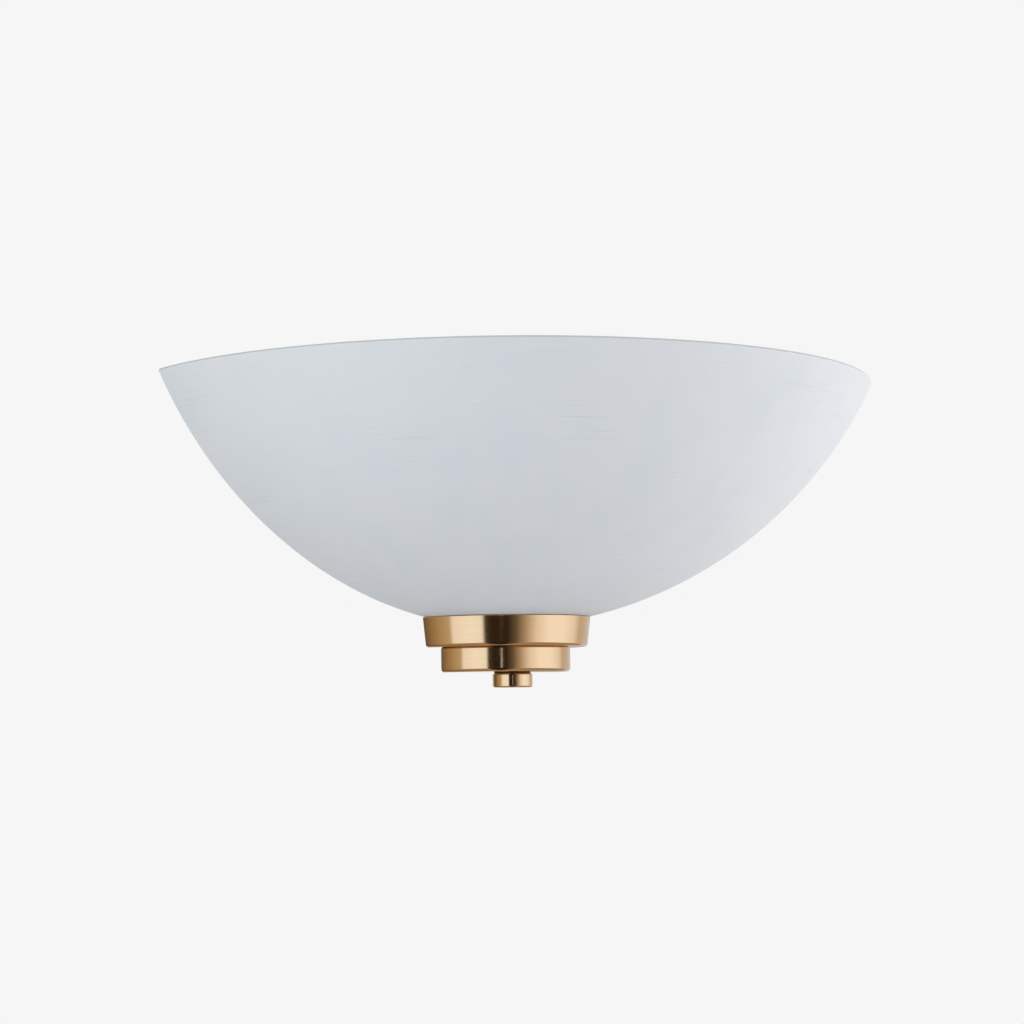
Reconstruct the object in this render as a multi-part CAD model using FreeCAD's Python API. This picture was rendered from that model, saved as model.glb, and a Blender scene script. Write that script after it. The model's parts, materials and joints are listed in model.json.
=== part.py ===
import FreeCAD, Part
import math
import os

# Wall uplighter: half a bowl of satin glass, held under its lowest point by a two-step brass
# gallery and a finial on a threaded rod, with a steel wall plate, a lampholder and a lamp inside.
# Sizes are in millimetres. The wall is the plane Y = 0, the light stands out of it towards -Y,
# +Z is up, and the origin is midway between the two wall slots, on the wall.

Vector = FreeCAD.Vector
X_AXIS = Vector(1, 0, 0)
Y_AXIS = Vector(0, 1, 0)
Z_AXIS = Vector(0, 0, 1)
ORIGIN = Vector(0, 0, 0)

# Shade: half of a spherical cap, cut flat at the wall
SHADE_WIDTH = 350.0
SHADE_DEPTH = 110.0
GLASS_WALL = 4.5
RIM_ROUND = 1.0
RIM_HEIGHT = 45.0
WALL_GAP = 0.2

# Gallery cups, drawn from brass sheet and cut in half at the wall
CUP_WALL = 1.0
CUP_ROUND = 1.6
UPPER_CUP_RADIUS = 42.4
UPPER_CUP_TAPER = 1.6
UPPER_CUP_HEIGHT = 13.8
LOWER_CUP_RADIUS = 32.7
LOWER_CUP_HEIGHT = 11.4
SEAT_RING_WIDTH = 4.0
SEAT_RING_CHAMFER = 1.0

# Finial and its washer
FINIAL_RADIUS = 9.3
FINIAL_HEIGHT = 6.5
FINIAL_ROUND = 0.8
FINIAL_FLOOR = 1.6
FINIAL_WALL_CLEARANCE = 0.6
SPIGOT_WALL = 1.2
SPIGOT_HEIGHT = 7.0
FIBRE_WASHER_THICKNESS = 0.7
FIBRE_WASHER_RADIUS = 8.4

# Threaded rod, its nuts and washer
ROD_RADIUS = 5.0
ROD_END_GAP = 0.5
ROD_END_CHAMFER = 0.6
ROD_ABOVE_NUT = 2.0
NUT_ACROSS_FLATS = 14.0
NUT_CHAMFER = 0.8
UPPER_NUT_HEIGHT = 5.0
LOWER_NUT_HEIGHT = 2.0
ROD_WASHER_THICKNESS = 0.8
ROD_WASHER_RADIUS = 9.0

# Folded bracket that the shade is clamped against
BRACKET_THICKNESS = 1.5
LEDGE_WIDTH = 44.0
LEDGE_REACH = 26.0
LEDGE_CORNER = 8.0
CHEEK_HEIGHT = 22.0
CHEEK_NOSE = 4.0

# Wall plate: pressed sheet with turned edges and a raised centre
PLATE_THICKNESS = 1.2
PLATE_FLANGE = 7.0
PLATE_BEND = 1.6
PLATE_BELOW_RIM = 12.0
PLATE_INSET = 9.0
PLATE_CORNER = 10.0
PLATE_EDGE_TO_SLOT = 23.0
SLOT_SPACING = 160.0
SLOT_LENGTH = 14.0
SLOT_WIDTH = 5.5
RAISED_HEIGHT = 46.0
RAISED_DEPTH = 5.0
RAISED_DRAFT = 2.5
RAISED_CORNER = 8.0
RAISED_TO_SLOT = 6.0

# Cable grommet
CABLE_RADIUS = 4.5
GROMMET_NECK_RADIUS = 6.9
GROMMET_FLANGE_RADIUS = 9.0
GROMMET_LIP = 1.8

# Terminal block
POLE_COUNT = 3
POLE_PITCH = 10.0
POLE_WIDTH = 8.0
BLOCK_DEPTH = 13.0
BLOCK_BASE_DEPTH = 5.0
BLOCK_HEIGHT = 17.0
BLOCK_ROUND = 1.5
BLOCK_TO_GROMMET = 2.0
INSERT_WALL = 0.6
INSERT_SHORTER = 1.0
CLAMP_SCREW_RADIUS = 1.4
CLAMP_SCREW_SPACING = 8.0
CLAMP_SCREW_SUNK = 1.2
BLOCK_SCREW_RADIUS = 0.75
BLOCK_SCREW_HEAD_HEIGHT = 1.4

# Earth screw, washer and crimped tag
EARTH_X = -25.0
EARTH_Z = -14.5
EARTH_SCREW_RADIUS = 1.95
EARTH_WASHER_RADIUS = 4.5
EARTH_WASHER_THICKNESS = 0.8
EARTH_TAG_THICKNESS = 0.8
EARTH_TAG_BARREL_LENGTH = 6.0
EARTH_TAG_BARREL_WALL = 0.5
SCREW_HEAD_HEIGHT = 2.4
SCREW_TAIL = 2.5

# Lampholder arm and its rivets
ARM_THICKNESS = 1.5
ARM_NECK = 14.0
ARM_TO_RAISED_EDGE = 7.0
FOOT_LENGTH = 18.0
FOOT_HEIGHT = 20.0
ARM_ROOT = 5.0
RIVET_RADIUS = 1.55
RIVET_HEAD_RADIUS = 3.0
RIVET_HEAD_HEIGHT = 1.2
RIVET_SPACING = 12.0
LAMP_OUT = 62.0
LAMP_UP = 8.0

# Lampholder
HOLDER_RADIUS = 19.0
HOLDER_MOUTH_RADIUS = 20.5
HOLDER_MOUTH_LENGTH = 10.0
HOLDER_LENGTH = 46.0
HOLDER_RECESS_DEPTH = 8.0
HOLDER_WEB = 8.0
HOLDER_RECESS_WIDTH = 12.0
HOLDER_SCREW_OFFSET = 13.5
HOLDER_SCREW_RADIUS = 1.9
HOLDER_SCREW_DEPTH = 10.0
HOLDER_SCREW_HEAD_RADIUS = 3.7
HOLDER_ROUND = 1.5
SHELL_WALL = 0.5
SHELL_RING_WIDTH = 5.4
SHELL_MOUTH_GAP = 3.0
POST_RADIUS = 2.8
POST_HEIGHT = 5.0
POST_PIN_RADIUS = 1.2
LIVE_POST_OFFSET = 5.0
TONGUE_THICKNESS = 0.5
TONGUE_WIDTH = 5.0
TONGUE_RISE = 4.0

# Lamp
CAP_RADIUS = 13.1
CAP_WALL = 0.5
CAP_ROUND = 1.5
CAP_LIP = 3.6
INSULATOR_HEIGHT = 3.1
EYELET_RADIUS = 4.4
EYELET_HEIGHT = 1.0
LAMP_RADIUS = 30.0
LAMP_SHOULDER_RADIUS = 26.0
LAMP_HOUSING_LENGTH = 35.0
LAMP_NECK_LENGTH = 4.0
ENVELOPE_WALL = 1.2
FLARE_BOW = 0.06

# Internal wires
WIRE_RADIUS = 1.2
WIRE_IN_BLOCK = 3.0
WIRE_BEND_SHARE = 0.45
WIRE_STEP = 5.0
WIRE_SAG = 1.5
LOOP_OUT = 9.0

# Clearances
SEAT_GAP = 0.1
FIT_GAP = 0.1
RUNNING_GAP = 0.05
MOVING_GAP = 0.3
HOLE_GAP = 0.5
NUT_GAP = 0.2

# Largest round or chamfer, as a share of the wall that it is on
WALL_SHARE = 0.4

# Sine of an angle too small to matter
TINY = 0.001

# Places worked out from the sizes above
half_width = SHADE_WIDTH / 2
sphere_radius = (half_width**2 + SHADE_DEPTH**2) / (2 * SHADE_DEPTH)
inner_radius = sphere_radius - GLASS_WALL
rim_z = RIM_HEIGHT
centre_z = rim_z + sphere_radius - SHADE_DEPTH


def sphere_z(radius, distance):
    """Height of a sphere about the bowl's centre, at a distance from the bowl's axis."""
    return centre_z - math.sqrt(radius**2 - distance**2)


def sphere_angle(radius, distance):
    """Angle in degrees at which a sphere about the bowl's centre is that far from the axis."""
    return -math.degrees(math.acos(distance / radius))


rod_behind = PLATE_THICKNESS + BRACKET_THICKNESS + NUT_ACROSS_FLATS / 2 + NUT_GAP
rod_y = -max(FINIAL_RADIUS + FINIAL_WALL_CLEARANCE, rod_behind)
nut_corner_radius = NUT_ACROSS_FLATS / math.sqrt(3)

gasket_radius = LEDGE_WIDTH / 2
gasket_edge = LOWER_NUT_HEIGHT + HOLE_GAP
ledge_z = sphere_z(inner_radius, gasket_radius) + gasket_edge
ledge_top = ledge_z + BRACKET_THICKNESS
rod_washer_top = ledge_top + ROD_WASHER_THICKNESS
rod_top = rod_washer_top + UPPER_NUT_HEIGHT + ROD_ABOVE_NUT

upper_cup_foot = UPPER_CUP_RADIUS - UPPER_CUP_TAPER
upper_cup_top = sphere_z(sphere_radius, UPPER_CUP_RADIUS - CUP_WALL) - SEAT_GAP
upper_cup_z = upper_cup_top - UPPER_CUP_HEIGHT
lower_cup_z = upper_cup_z - LOWER_CUP_HEIGHT
finial_top = lower_cup_z - FIBRE_WASHER_THICKNESS
finial_z = finial_top - FINIAL_HEIGHT
rod_z = finial_z + FINIAL_FLOOR + ROD_END_GAP
finial_bore_radius = ROD_RADIUS + RUNNING_GAP
spigot_radius = finial_bore_radius + SPIGOT_WALL

plate_width = SLOT_SPACING + SLOT_LENGTH + 2 * PLATE_EDGE_TO_SLOT
plate_top = rim_z - PLATE_BELOW_RIM
plate_curve = inner_radius - PLATE_INSET
raised_width = SLOT_SPACING - SLOT_LENGTH - 2 * RAISED_TO_SLOT
face_y = -(RAISED_DEPTH + PLATE_THICKNESS)
bracket_top = -RAISED_HEIGHT / 2 - PLATE_THICKNESS - HOLE_GAP

wire_passage = WIRE_RADIUS + MOVING_GAP
block_bore = wire_passage + INSERT_WALL + FIT_GAP
block_length = (POLE_COUNT - 1) * POLE_PITCH + POLE_WIDTH
block_x = GROMMET_FLANGE_RADIUS + BLOCK_TO_GROMMET + block_length / 2
pole_xs = [block_x + (i - (POLE_COUNT - 1) / 2) * POLE_PITCH for i in range(POLE_COUNT)]
block_front = face_y - BLOCK_DEPTH
bore_y = face_y - BLOCK_DEPTH / 2
block_base_y = face_y - BLOCK_BASE_DEPTH
block_screw_x = pole_xs[1] + POLE_PITCH / 2
clamp_zs = [-CLAMP_SCREW_SPACING / 2, CLAMP_SCREW_SPACING / 2]

earth_tag_seat = -face_y
earth_washer_seat = earth_tag_seat + EARTH_TAG_THICKNESS
earth_head_seat = earth_washer_seat + EARTH_WASHER_THICKNESS
barrel_radius = WIRE_RADIUS + FIT_GAP + EARTH_TAG_BARREL_WALL
barrel_y = face_y - barrel_radius
barrel_x = EARTH_X + EARTH_WASHER_RADIUS + FIT_GAP

arm_x = ARM_TO_RAISED_EDGE - raised_width / 2 + RAISED_DRAFT
holder_x = arm_x + ARM_THICKNESS
lamp_y = -LAMP_OUT
lamp_z = LAMP_UP
rivet_x = holder_x + FOOT_LENGTH / 2
rivet_zs = [lamp_z - RIVET_SPACING / 2, lamp_z + RIVET_SPACING / 2]
holder_floor = HOLDER_RECESS_DEPTH + HOLDER_WEB
shell_inner = CAP_RADIUS + MOVING_GAP
shell_outer = shell_inner + SHELL_WALL
holder_bore = shell_outer + FIT_GAP
tongue_top = holder_floor + TONGUE_RISE + TONGUE_THICKNESS
eyelet_top = tongue_top + EYELET_HEIGHT
cap_start = eyelet_top + INSULATOR_HEIGHT - CAP_WALL - FIT_GAP
cap_end = HOLDER_LENGTH + HOLE_GAP
housing_end = cap_end + LAMP_HOUSING_LENGTH
globe_rise = math.sqrt(LAMP_RADIUS**2 - LAMP_SHOULDER_RADIUS**2)
globe_centre = housing_end + globe_rise
ring_post_offset = shell_outer - SHELL_RING_WIDTH / 2
recess_length = 2 * (ring_post_offset + POST_RADIUS + NUT_GAP)
post_start = HOLDER_RECESS_DEPTH - POST_HEIGHT
# A post's offset is along the lampholder's own X, which points down once it lies along the lamp
post_offsets = [-LIVE_POST_OFFSET, ring_post_offset]

wire_start_z = WIRE_IN_BLOCK - BLOCK_HEIGHT / 2
live_z = EARTH_Z - WIRE_STEP
neutral_z = live_z - WIRE_STEP


def box(low, high):
    """Block between two corners."""
    size = [b - a for a, b in zip(low, high)]
    return Part.makeBox(*size, Vector(*low))


def arc(centre, radius, start, end):
    """Middle and end point of an arc between two angles in degrees."""
    angles = [math.radians((start + end) / 2), math.radians(end)]
    return tuple((centre[0] + radius * math.cos(a), centre[1] + radius * math.sin(a)) for a in angles)


def outline(start, *steps):
    """Face in the XZ plane through (x, z) points; a pair of points is an arc and its end."""
    here = Vector(start[0], 0, start[1])
    edges = []
    for step in steps + (start,):
        bend = isinstance(step[0], tuple)
        x, z = step[1] if bend else step
        there = Vector(x, 0, z)
        if bend:
            middle = Vector(step[0][0], 0, step[0][1])
            edges.append(Part.Arc(here, middle, there).toShape())
        else:
            edges.append(Part.makeLine(here, there))
        here = there
    return Part.Face(Part.Wire(edges))


def half_turn(face):
    """Turn a profile half way round the bowl's axis, in front of the wall, and clear the wall."""
    solid = face.revolve(ORIGIN, -Z_AXIS, 180)
    bounds = solid.BoundBox
    return solid.cut(box((bounds.XMin, -WALL_GAP, bounds.ZMin), (bounds.XMax, WALL_GAP, bounds.ZMax)))


def turned(face):
    """Turn a profile all the way round the Z axis."""
    return face.revolve(ORIGIN, Z_AXIS, 360)


def on_rod(shape):
    """Move a shape turned on the Z axis to the rod's axis."""
    return shape.translated(Vector(0, rod_y, 0))


def on_lamp_axis(shape):
    """Lay a shape turned on the Z axis along the lamp's axis, its zero at the lampholder's foot."""
    return shape.rotated(ORIGIN, Y_AXIS, 90).translated(Vector(holder_x, lamp_y, lamp_z))


def on_wall(shape, x, z):
    """Turn a shape's Z axis to point out of the wall, and move it to a place on the wall."""
    return shape.rotated(ORIGIN, X_AXIS, 90).translated(Vector(x, 0, z))


def ring(inner, outer, low, high):
    """Flat ring about the Z axis."""
    return turned(outline((inner, low), (outer, low), (outer, high), (inner, high)))


def pin(radius, low, high):
    """Plain round pin about the Z axis."""
    return Part.makeCylinder(radius, high - low, Vector(0, 0, low))


def rod_notch(radius, low, high):
    """Cutter for a notch that lets the rod in from the wall side."""
    slot = box((-radius, rod_y, low), (radius, WALL_GAP, high))
    return on_rod(pin(radius, low, high)).fuse(slot)


def slot_bar(length, width, low, high):
    """Bar with round ends along X, about the Z axis."""
    offset = (length - width) / 2
    body = box((-offset, -width / 2, low), (offset, width / 2, high))
    ends = [pin(width / 2, low, high).translated(Vector(side * offset, 0, 0)) for side in (-1, 1)]
    return body.fuse(ends).removeSplitter()


def edges_along(shape, direction):
    """Straight edges of a shape that run along a direction."""
    found = []
    for edge in shape.Edges:
        if isinstance(edge.Curve, Part.Line) and edge.Curve.Direction.cross(direction).Length < TINY:
            found.append(edge)
    return found


def panhead(radius, head_radius, head_height, low, seat):
    """Screw about the Z axis: shank from low to its seat, and a rounded head above it."""
    top = seat + head_height
    crown = head_height / 2
    bend = arc((head_radius - crown, top - crown), crown, 0, 90)
    side = [(radius, low), (radius, seat), (head_radius, seat), (head_radius, top - crown)]
    return turned(outline((0, low), *side, bend, (0, top)))


def glass_shade():
    """Half bowl of even wall, its rim rounded, with a notch for the rod at the wall."""
    outer_rim = sphere_angle(sphere_radius, half_width)
    inner_rim = -math.degrees(math.asin((centre_z - rim_z) / inner_radius))
    middle = (0, centre_z)
    outer = arc(middle, sphere_radius, outer_rim, -90)
    inner = arc(middle, inner_radius, -90, inner_rim)
    bowl = half_turn(outline((half_width, rim_z), outer, (0, centre_z - inner_radius), inner))
    at_rim = [e for e in bowl.Edges if e.BoundBox.ZMin > rim_z - FIT_GAP]
    round_edges = [e for e in at_rim if isinstance(e.Curve, Part.Circle)]
    bowl = bowl.makeFillet(min(RIM_ROUND, WALL_SHARE * GLASS_WALL), round_edges)
    return bowl.cut(rod_notch(ROD_RADIUS + HOLE_GAP, centre_z - sphere_radius, ledge_z))


def shade_gasket():
    """Rubber pad: flat against the ledge, and domed to lie on the inside of the glass."""
    dome = inner_radius - SEAT_GAP
    edge_angle = sphere_angle(dome, gasket_radius)
    edge = (gasket_radius, sphere_z(dome, gasket_radius))
    face = outline((0, ledge_z), (gasket_radius, ledge_z), edge, arc((0, centre_z), dome, edge_angle, -90))
    return half_turn(face).cut(rod_notch(nut_corner_radius + MOVING_GAP, centre_z - dome, ledge_z))


def seat_ring():
    """Rubber ring that stands in the upper cup and carries the glass on its domed top."""
    dome = sphere_radius + SEAT_GAP
    outer = upper_cup_foot - CUP_WALL - FIT_GAP
    inner = outer - SEAT_RING_WIDTH
    low = upper_cup_z + CUP_WALL
    foot = [(outer - SEAT_RING_CHAMFER, low), (outer, low + SEAT_RING_CHAMFER)]
    top = arc((0, centre_z), dome, sphere_angle(dome, outer), sphere_angle(dome, inner))
    return half_turn(outline((inner, low), *foot, (outer, sphere_z(dome, outer)), top))


def cup(low, high, bottom_radius, top_radius):
    """Half of a drawn cup, open at the top, its floor joined to its wall by a round bend."""
    bend = max(CUP_ROUND, CUP_WALL + FIT_GAP)
    outside = arc((bottom_radius - bend, low + bend), bend, -90, 0)
    inside = arc((bottom_radius - bend, low + bend), bend - CUP_WALL, 0, -90)
    rim = [(top_radius, high), (top_radius - CUP_WALL, high)]
    inner_side = (bottom_radius - CUP_WALL, low + bend)
    foot = [(0, low), (bottom_radius - bend, low)]
    return half_turn(outline(*foot, outside, *rim, inner_side, inside, (0, low + CUP_WALL)))


def gallery_upper():
    """Upper cup of the gallery, a little wider at its rim, with a hole for the rod."""
    shell = cup(upper_cup_z, upper_cup_top, upper_cup_foot, UPPER_CUP_RADIUS)
    return shell.cut(on_rod(pin(ROD_RADIUS + HOLE_GAP, upper_cup_z, upper_cup_top)))


def gallery_lower():
    """Lower cup of the gallery, its rim against the upper cup, with a hole for the finial."""
    shell = cup(lower_cup_z, upper_cup_z, LOWER_CUP_RADIUS, LOWER_CUP_RADIUS)
    return shell.cut(on_rod(pin(spigot_radius + MOVING_GAP, lower_cup_z, upper_cup_z)))


def finial_washer():
    """Thin fibre washer between the finial and the lower cup."""
    return on_rod(ring(spigot_radius + MOVING_GAP, FIBRE_WASHER_RADIUS, finial_top, lower_cup_z))


def finial_nut():
    """Round finial with a blind threaded bore that goes on up into a spigot."""
    floor = finial_z + FINIAL_FLOOR
    spigot_top = finial_top + SPIGOT_HEIGHT
    centre = FINIAL_RADIUS - FINIAL_ROUND
    lower_bend = arc((centre, finial_z + FINIAL_ROUND), FINIAL_ROUND, -90, 0)
    upper_bend = arc((centre, finial_top - FINIAL_ROUND), FINIAL_ROUND, 0, 90)
    shoulder = [(spigot_radius, finial_top), (spigot_radius, spigot_top)]
    bore = [(finial_bore_radius, spigot_top), (finial_bore_radius, floor), (0, floor)]
    body = [(centre, finial_z), lower_bend, (FINIAL_RADIUS, finial_top - FINIAL_ROUND), upper_bend]
    return on_rod(turned(outline((0, finial_z), *body, *shoulder, *bore)))


def threaded_rod():
    """Rod from above the ledge down into the finial, its ends chamfered."""
    tip = ROD_RADIUS - ROD_END_CHAMFER
    lower = [(tip, rod_z), (ROD_RADIUS, rod_z + ROD_END_CHAMFER)]
    upper = [(ROD_RADIUS, rod_top - ROD_END_CHAMFER), (tip, rod_top)]
    return on_rod(turned(outline((0, rod_z), *lower, *upper, (0, rod_top))))


def hex_nut(low, height):
    """Hex nut on the rod, its flats square to the wall and its corners chamfered."""
    corner = Vector(nut_corner_radius, 0, low)
    points = [FreeCAD.Rotation(Z_AXIS, 60 * i).multVec(corner) for i in range(7)]
    prism = Part.Face(Part.makePolygon(points)).extrude(Vector(0, 0, height))
    rise = min(NUT_CHAMFER, nut_corner_radius - NUT_ACROSS_FLATS / 2, WALL_SHARE * height)
    face_radius = nut_corner_radius - rise
    lower = [(face_radius, low), (nut_corner_radius, low + rise)]
    upper = [(nut_corner_radius, low + height - rise), (face_radius, low + height)]
    envelope = turned(outline((0, low), *lower, *upper, (0, low + height)))
    return on_rod(prism.common(envelope).cut(pin(finial_bore_radius, low, low + height)))


def rod_nut_upper():
    """Nut that pulls the rod tight on the ledge."""
    return hex_nut(rod_washer_top, UPPER_NUT_HEIGHT)


def rod_nut_lower():
    """Thin nut under the ledge, in the gasket's notch."""
    return hex_nut(ledge_z - LOWER_NUT_HEIGHT, LOWER_NUT_HEIGHT)


def rod_washer():
    """Washer under the upper nut, flattened at the back to clear the bracket's leg."""
    disc = on_rod(ring(finial_bore_radius, ROD_WASHER_RADIUS, ledge_top, rod_washer_top))
    back = -(PLATE_THICKNESS + BRACKET_THICKNESS + FIT_GAP)
    return disc.cut(box((-ROD_WASHER_RADIUS, back, ledge_top), (ROD_WASHER_RADIUS, 0, rod_washer_top)))


def rod_bracket():
    """Folded sheet: a leg on the plate, a ledge over the glass, and a cheek at each side."""
    side = LEDGE_WIDTH / 2
    back = -PLATE_THICKNESS
    leg_front = back - BRACKET_THICKNESS
    leg = box((-side, leg_front, ledge_z), (side, back, bracket_top))
    ledge = box((-side, -LEDGE_REACH, ledge_z), (side, back, ledge_top))
    front = [e for e in edges_along(ledge, Z_AXIS) if e.BoundBox.YMax < -LEDGE_REACH / 2]
    ledge = ledge.makeFillet(LEDGE_CORNER, front)
    nose = -LEDGE_REACH + LEDGE_CORNER
    corners = [(leg_front, ledge_z), (nose, ledge_z), (nose, ledge_top + CHEEK_NOSE)]
    corners.append((leg_front, ledge_top + CHEEK_HEIGHT))
    points = [Vector(-side, y, z) for y, z in corners + corners[:1]]
    cheek = Part.Face(Part.makePolygon(points)).extrude(Vector(BRACKET_THICKNESS, 0, 0))
    other = cheek.translated(Vector(LEDGE_WIDTH - BRACKET_THICKNESS, 0, 0))
    body = leg.fuse([ledge, cheek, other]).removeSplitter()
    low_edges = [e for e in edges_along(body, X_AXIS) if e.BoundBox.ZMax < ledge_z + FIT_GAP]
    body = body.makeFillet(BRACKET_THICKNESS, [e for e in low_edges if e.BoundBox.YMin > leg_front])
    return body.cut(on_rod(pin(ROD_RADIUS + FIT_GAP, ledge_z, ledge_top)))


def plate_blank(inset, low, high):
    """Plate's outline, straight at the top and sides, following the bowl below, its bend rounded."""
    side = plate_width / 2 - inset
    top = plate_top - inset
    curve = plate_curve - inset
    block = box((-side, -high, centre_z - curve), (side, -low, top))
    disc = Part.makeCylinder(curve, high - low, Vector(0, -high, centre_z), Y_AXIS)
    blank = block.common(disc)
    blank = blank.makeFillet(max(PLATE_CORNER - inset, FIT_GAP), edges_along(blank, Y_AXIS))
    back_edges = [e for e in blank.Edges if e.BoundBox.YMin > -(low + FIT_GAP)]
    return blank.makeFillet(max(PLATE_BEND - inset, FIT_GAP), back_edges)


def rounded_rectangle(width, height, radius, y):
    """Wire of a rectangle with round corners, standing in front of the wall."""
    corners = [(1, 1), (-1, 1), (-1, -1), (1, -1)]
    points = []
    for turn, (sx, sz) in enumerate(corners):
        centre = (sx * (width / 2 - radius), sz * (height / 2 - radius))
        start = arc(centre, radius, 90 * turn, 90 * turn)[1]
        points.append((start, arc(centre, radius, 90 * turn, 90 * turn + 90)))
    edges = []
    for index, (start, (middle, end)) in enumerate(points):
        following = points[(index + 1) % len(points)][0]
        a, b, c, d = [Vector(p[0], y, p[1]) for p in (start, middle, end, following)]
        edges.append(Part.Arc(a, b, c).toShape())
        edges.append(Part.makeLine(c, d))
    return Part.Wire(edges)


def raised_pad(inset, depth):
    """Drafted pad out of the wall plane, the form of the plate's raised centre."""
    sizes = [raised_width - 2 * inset, RAISED_HEIGHT - 2 * inset]
    wide = rounded_rectangle(*sizes, RAISED_CORNER, 0)
    narrow = rounded_rectangle(*[s - 2 * RAISED_DRAFT for s in sizes], RAISED_CORNER - RAISED_DRAFT, -depth)
    return Part.makeLoft([wide, narrow], True, True)


def wall_plate():
    """Pressed plate: turned edges, a raised centre, two wall slots and its fixing holes."""
    pan = plate_blank(0, 0, PLATE_FLANGE).cut(plate_blank(PLATE_THICKNESS, PLATE_THICKNESS, PLATE_FLANGE))
    gap = LEDGE_WIDTH / 2 + HOLE_GAP
    pan = pan.cut(box((-gap, -PLATE_FLANGE, centre_z - plate_curve), (gap, -PLATE_THICKNESS, bracket_top)))
    pan = pan.fuse(raised_pad(-PLATE_THICKNESS, -face_y)).cut(raised_pad(0, RAISED_DEPTH))
    slot = slot_bar(SLOT_LENGTH, SLOT_WIDTH, 0, PLATE_THICKNESS)
    slots = [on_wall(slot, side * SLOT_SPACING / 2, 0) for side in (-1, 1)]
    holes = [(GROMMET_NECK_RADIUS + FIT_GAP, 0, 0), (EARTH_SCREW_RADIUS + FIT_GAP, EARTH_X, EARTH_Z)]
    holes.append((BLOCK_SCREW_RADIUS + FIT_GAP, block_screw_x, 0))
    holes += [(RIVET_RADIUS + FIT_GAP, rivet_x, z) for z in rivet_zs]
    drills = [on_wall(pin(radius, 0, -face_y), x, z) for radius, x, z in holes]
    return pan.cut(slots + drills).removeSplitter()


def cable_grommet():
    """Rubber bush with a neck in the plate's hole and a lip on each side of the sheet."""
    back = RAISED_DEPTH - GROMMET_LIP
    front = -face_y + GROMMET_LIP
    lip = ring(CABLE_RADIUS, GROMMET_FLANGE_RADIUS, back, RAISED_DEPTH)
    neck = ring(CABLE_RADIUS, GROMMET_NECK_RADIUS, RAISED_DEPTH, -face_y)
    collar = ring(CABLE_RADIUS, GROMMET_FLANGE_RADIUS, -face_y, front)
    return on_wall(lip.fuse([neck, collar]).removeSplitter(), 0, 0)


def clamp_drills(x):
    """Drills for the clamp screws of one pole, from the block's front to the wire's middle."""
    drill = pin(CLAMP_SCREW_RADIUS + FIT_GAP, -bore_y, -block_front)
    return [on_wall(drill, x, z) for z in clamp_zs]


def terminal_block():
    """Moulded block: a base strip and three raised poles, each bored along Z."""
    half_height = BLOCK_HEIGHT / 2
    half_pole = POLE_WIDTH / 2
    left = block_x - block_length / 2
    body = box((left, block_base_y, -half_height), (left + block_length, face_y, half_height))
    cutters = []
    for x in pole_xs:
        pole = box((x - half_pole, block_front, -half_height), (x + half_pole, face_y, half_height))
        front = [e for e in edges_along(pole, Z_AXIS) if e.BoundBox.YMax < block_base_y]
        body = body.fuse(pole.makeFillet(BLOCK_ROUND, front))
        cutters.append(Part.makeCylinder(block_bore, BLOCK_HEIGHT, Vector(x, bore_y, -half_height)))
        cutters += clamp_drills(x)
    cutters.append(on_wall(pin(BLOCK_SCREW_RADIUS + FIT_GAP, -face_y, -block_base_y), block_screw_x, 0))
    return body.cut(cutters).removeSplitter()


def terminal_inserts():
    """Brass tube in each pole, open where the clamp screws come in."""
    half_height = BLOCK_HEIGHT / 2 - INSERT_SHORTER
    tubes = []
    for x in pole_xs:
        tube = ring(wire_passage, wire_passage + INSERT_WALL, -half_height, half_height)
        tube = tube.translated(Vector(x, bore_y, 0))
        tubes.append(tube.cut(clamp_drills(x)))
    return Part.makeCompound(tubes)


def terminal_screws():
    """Grub screws, two to a pole, sunk in the block and down on the wire."""
    low = -bore_y + WIRE_RADIUS + FIT_GAP
    high = -block_front - CLAMP_SCREW_SUNK
    screws = [on_wall(pin(CLAMP_SCREW_RADIUS, low, high), x, z) for x in pole_xs for z in clamp_zs]
    return Part.makeCompound(screws)


def block_screw():
    """Screw between two poles that holds the block on the plate."""
    head_radius = (POLE_PITCH - POLE_WIDTH) / 2 - FIT_GAP
    seat = -block_base_y
    shank = pin(BLOCK_SCREW_RADIUS, RAISED_DEPTH - SCREW_TAIL, seat)
    head = pin(head_radius, seat, seat + BLOCK_SCREW_HEAD_HEIGHT)
    return on_wall(shank.fuse(head).removeSplitter(), block_screw_x, 0)


def earth_screw():
    """Pan-head screw that holds the earth tag on the plate."""
    low = RAISED_DEPTH - SCREW_TAIL
    head_radius = EARTH_WASHER_RADIUS - HOLE_GAP
    screw = panhead(EARTH_SCREW_RADIUS, head_radius, SCREW_HEAD_HEIGHT, low, earth_head_seat)
    return on_wall(screw, EARTH_X, EARTH_Z)


def earth_washer():
    """Washer on the earth tag."""
    washer = ring(EARTH_SCREW_RADIUS + FIT_GAP, EARTH_WASHER_RADIUS, earth_washer_seat, earth_head_seat)
    return on_wall(washer, EARTH_X, EARTH_Z)


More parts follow.
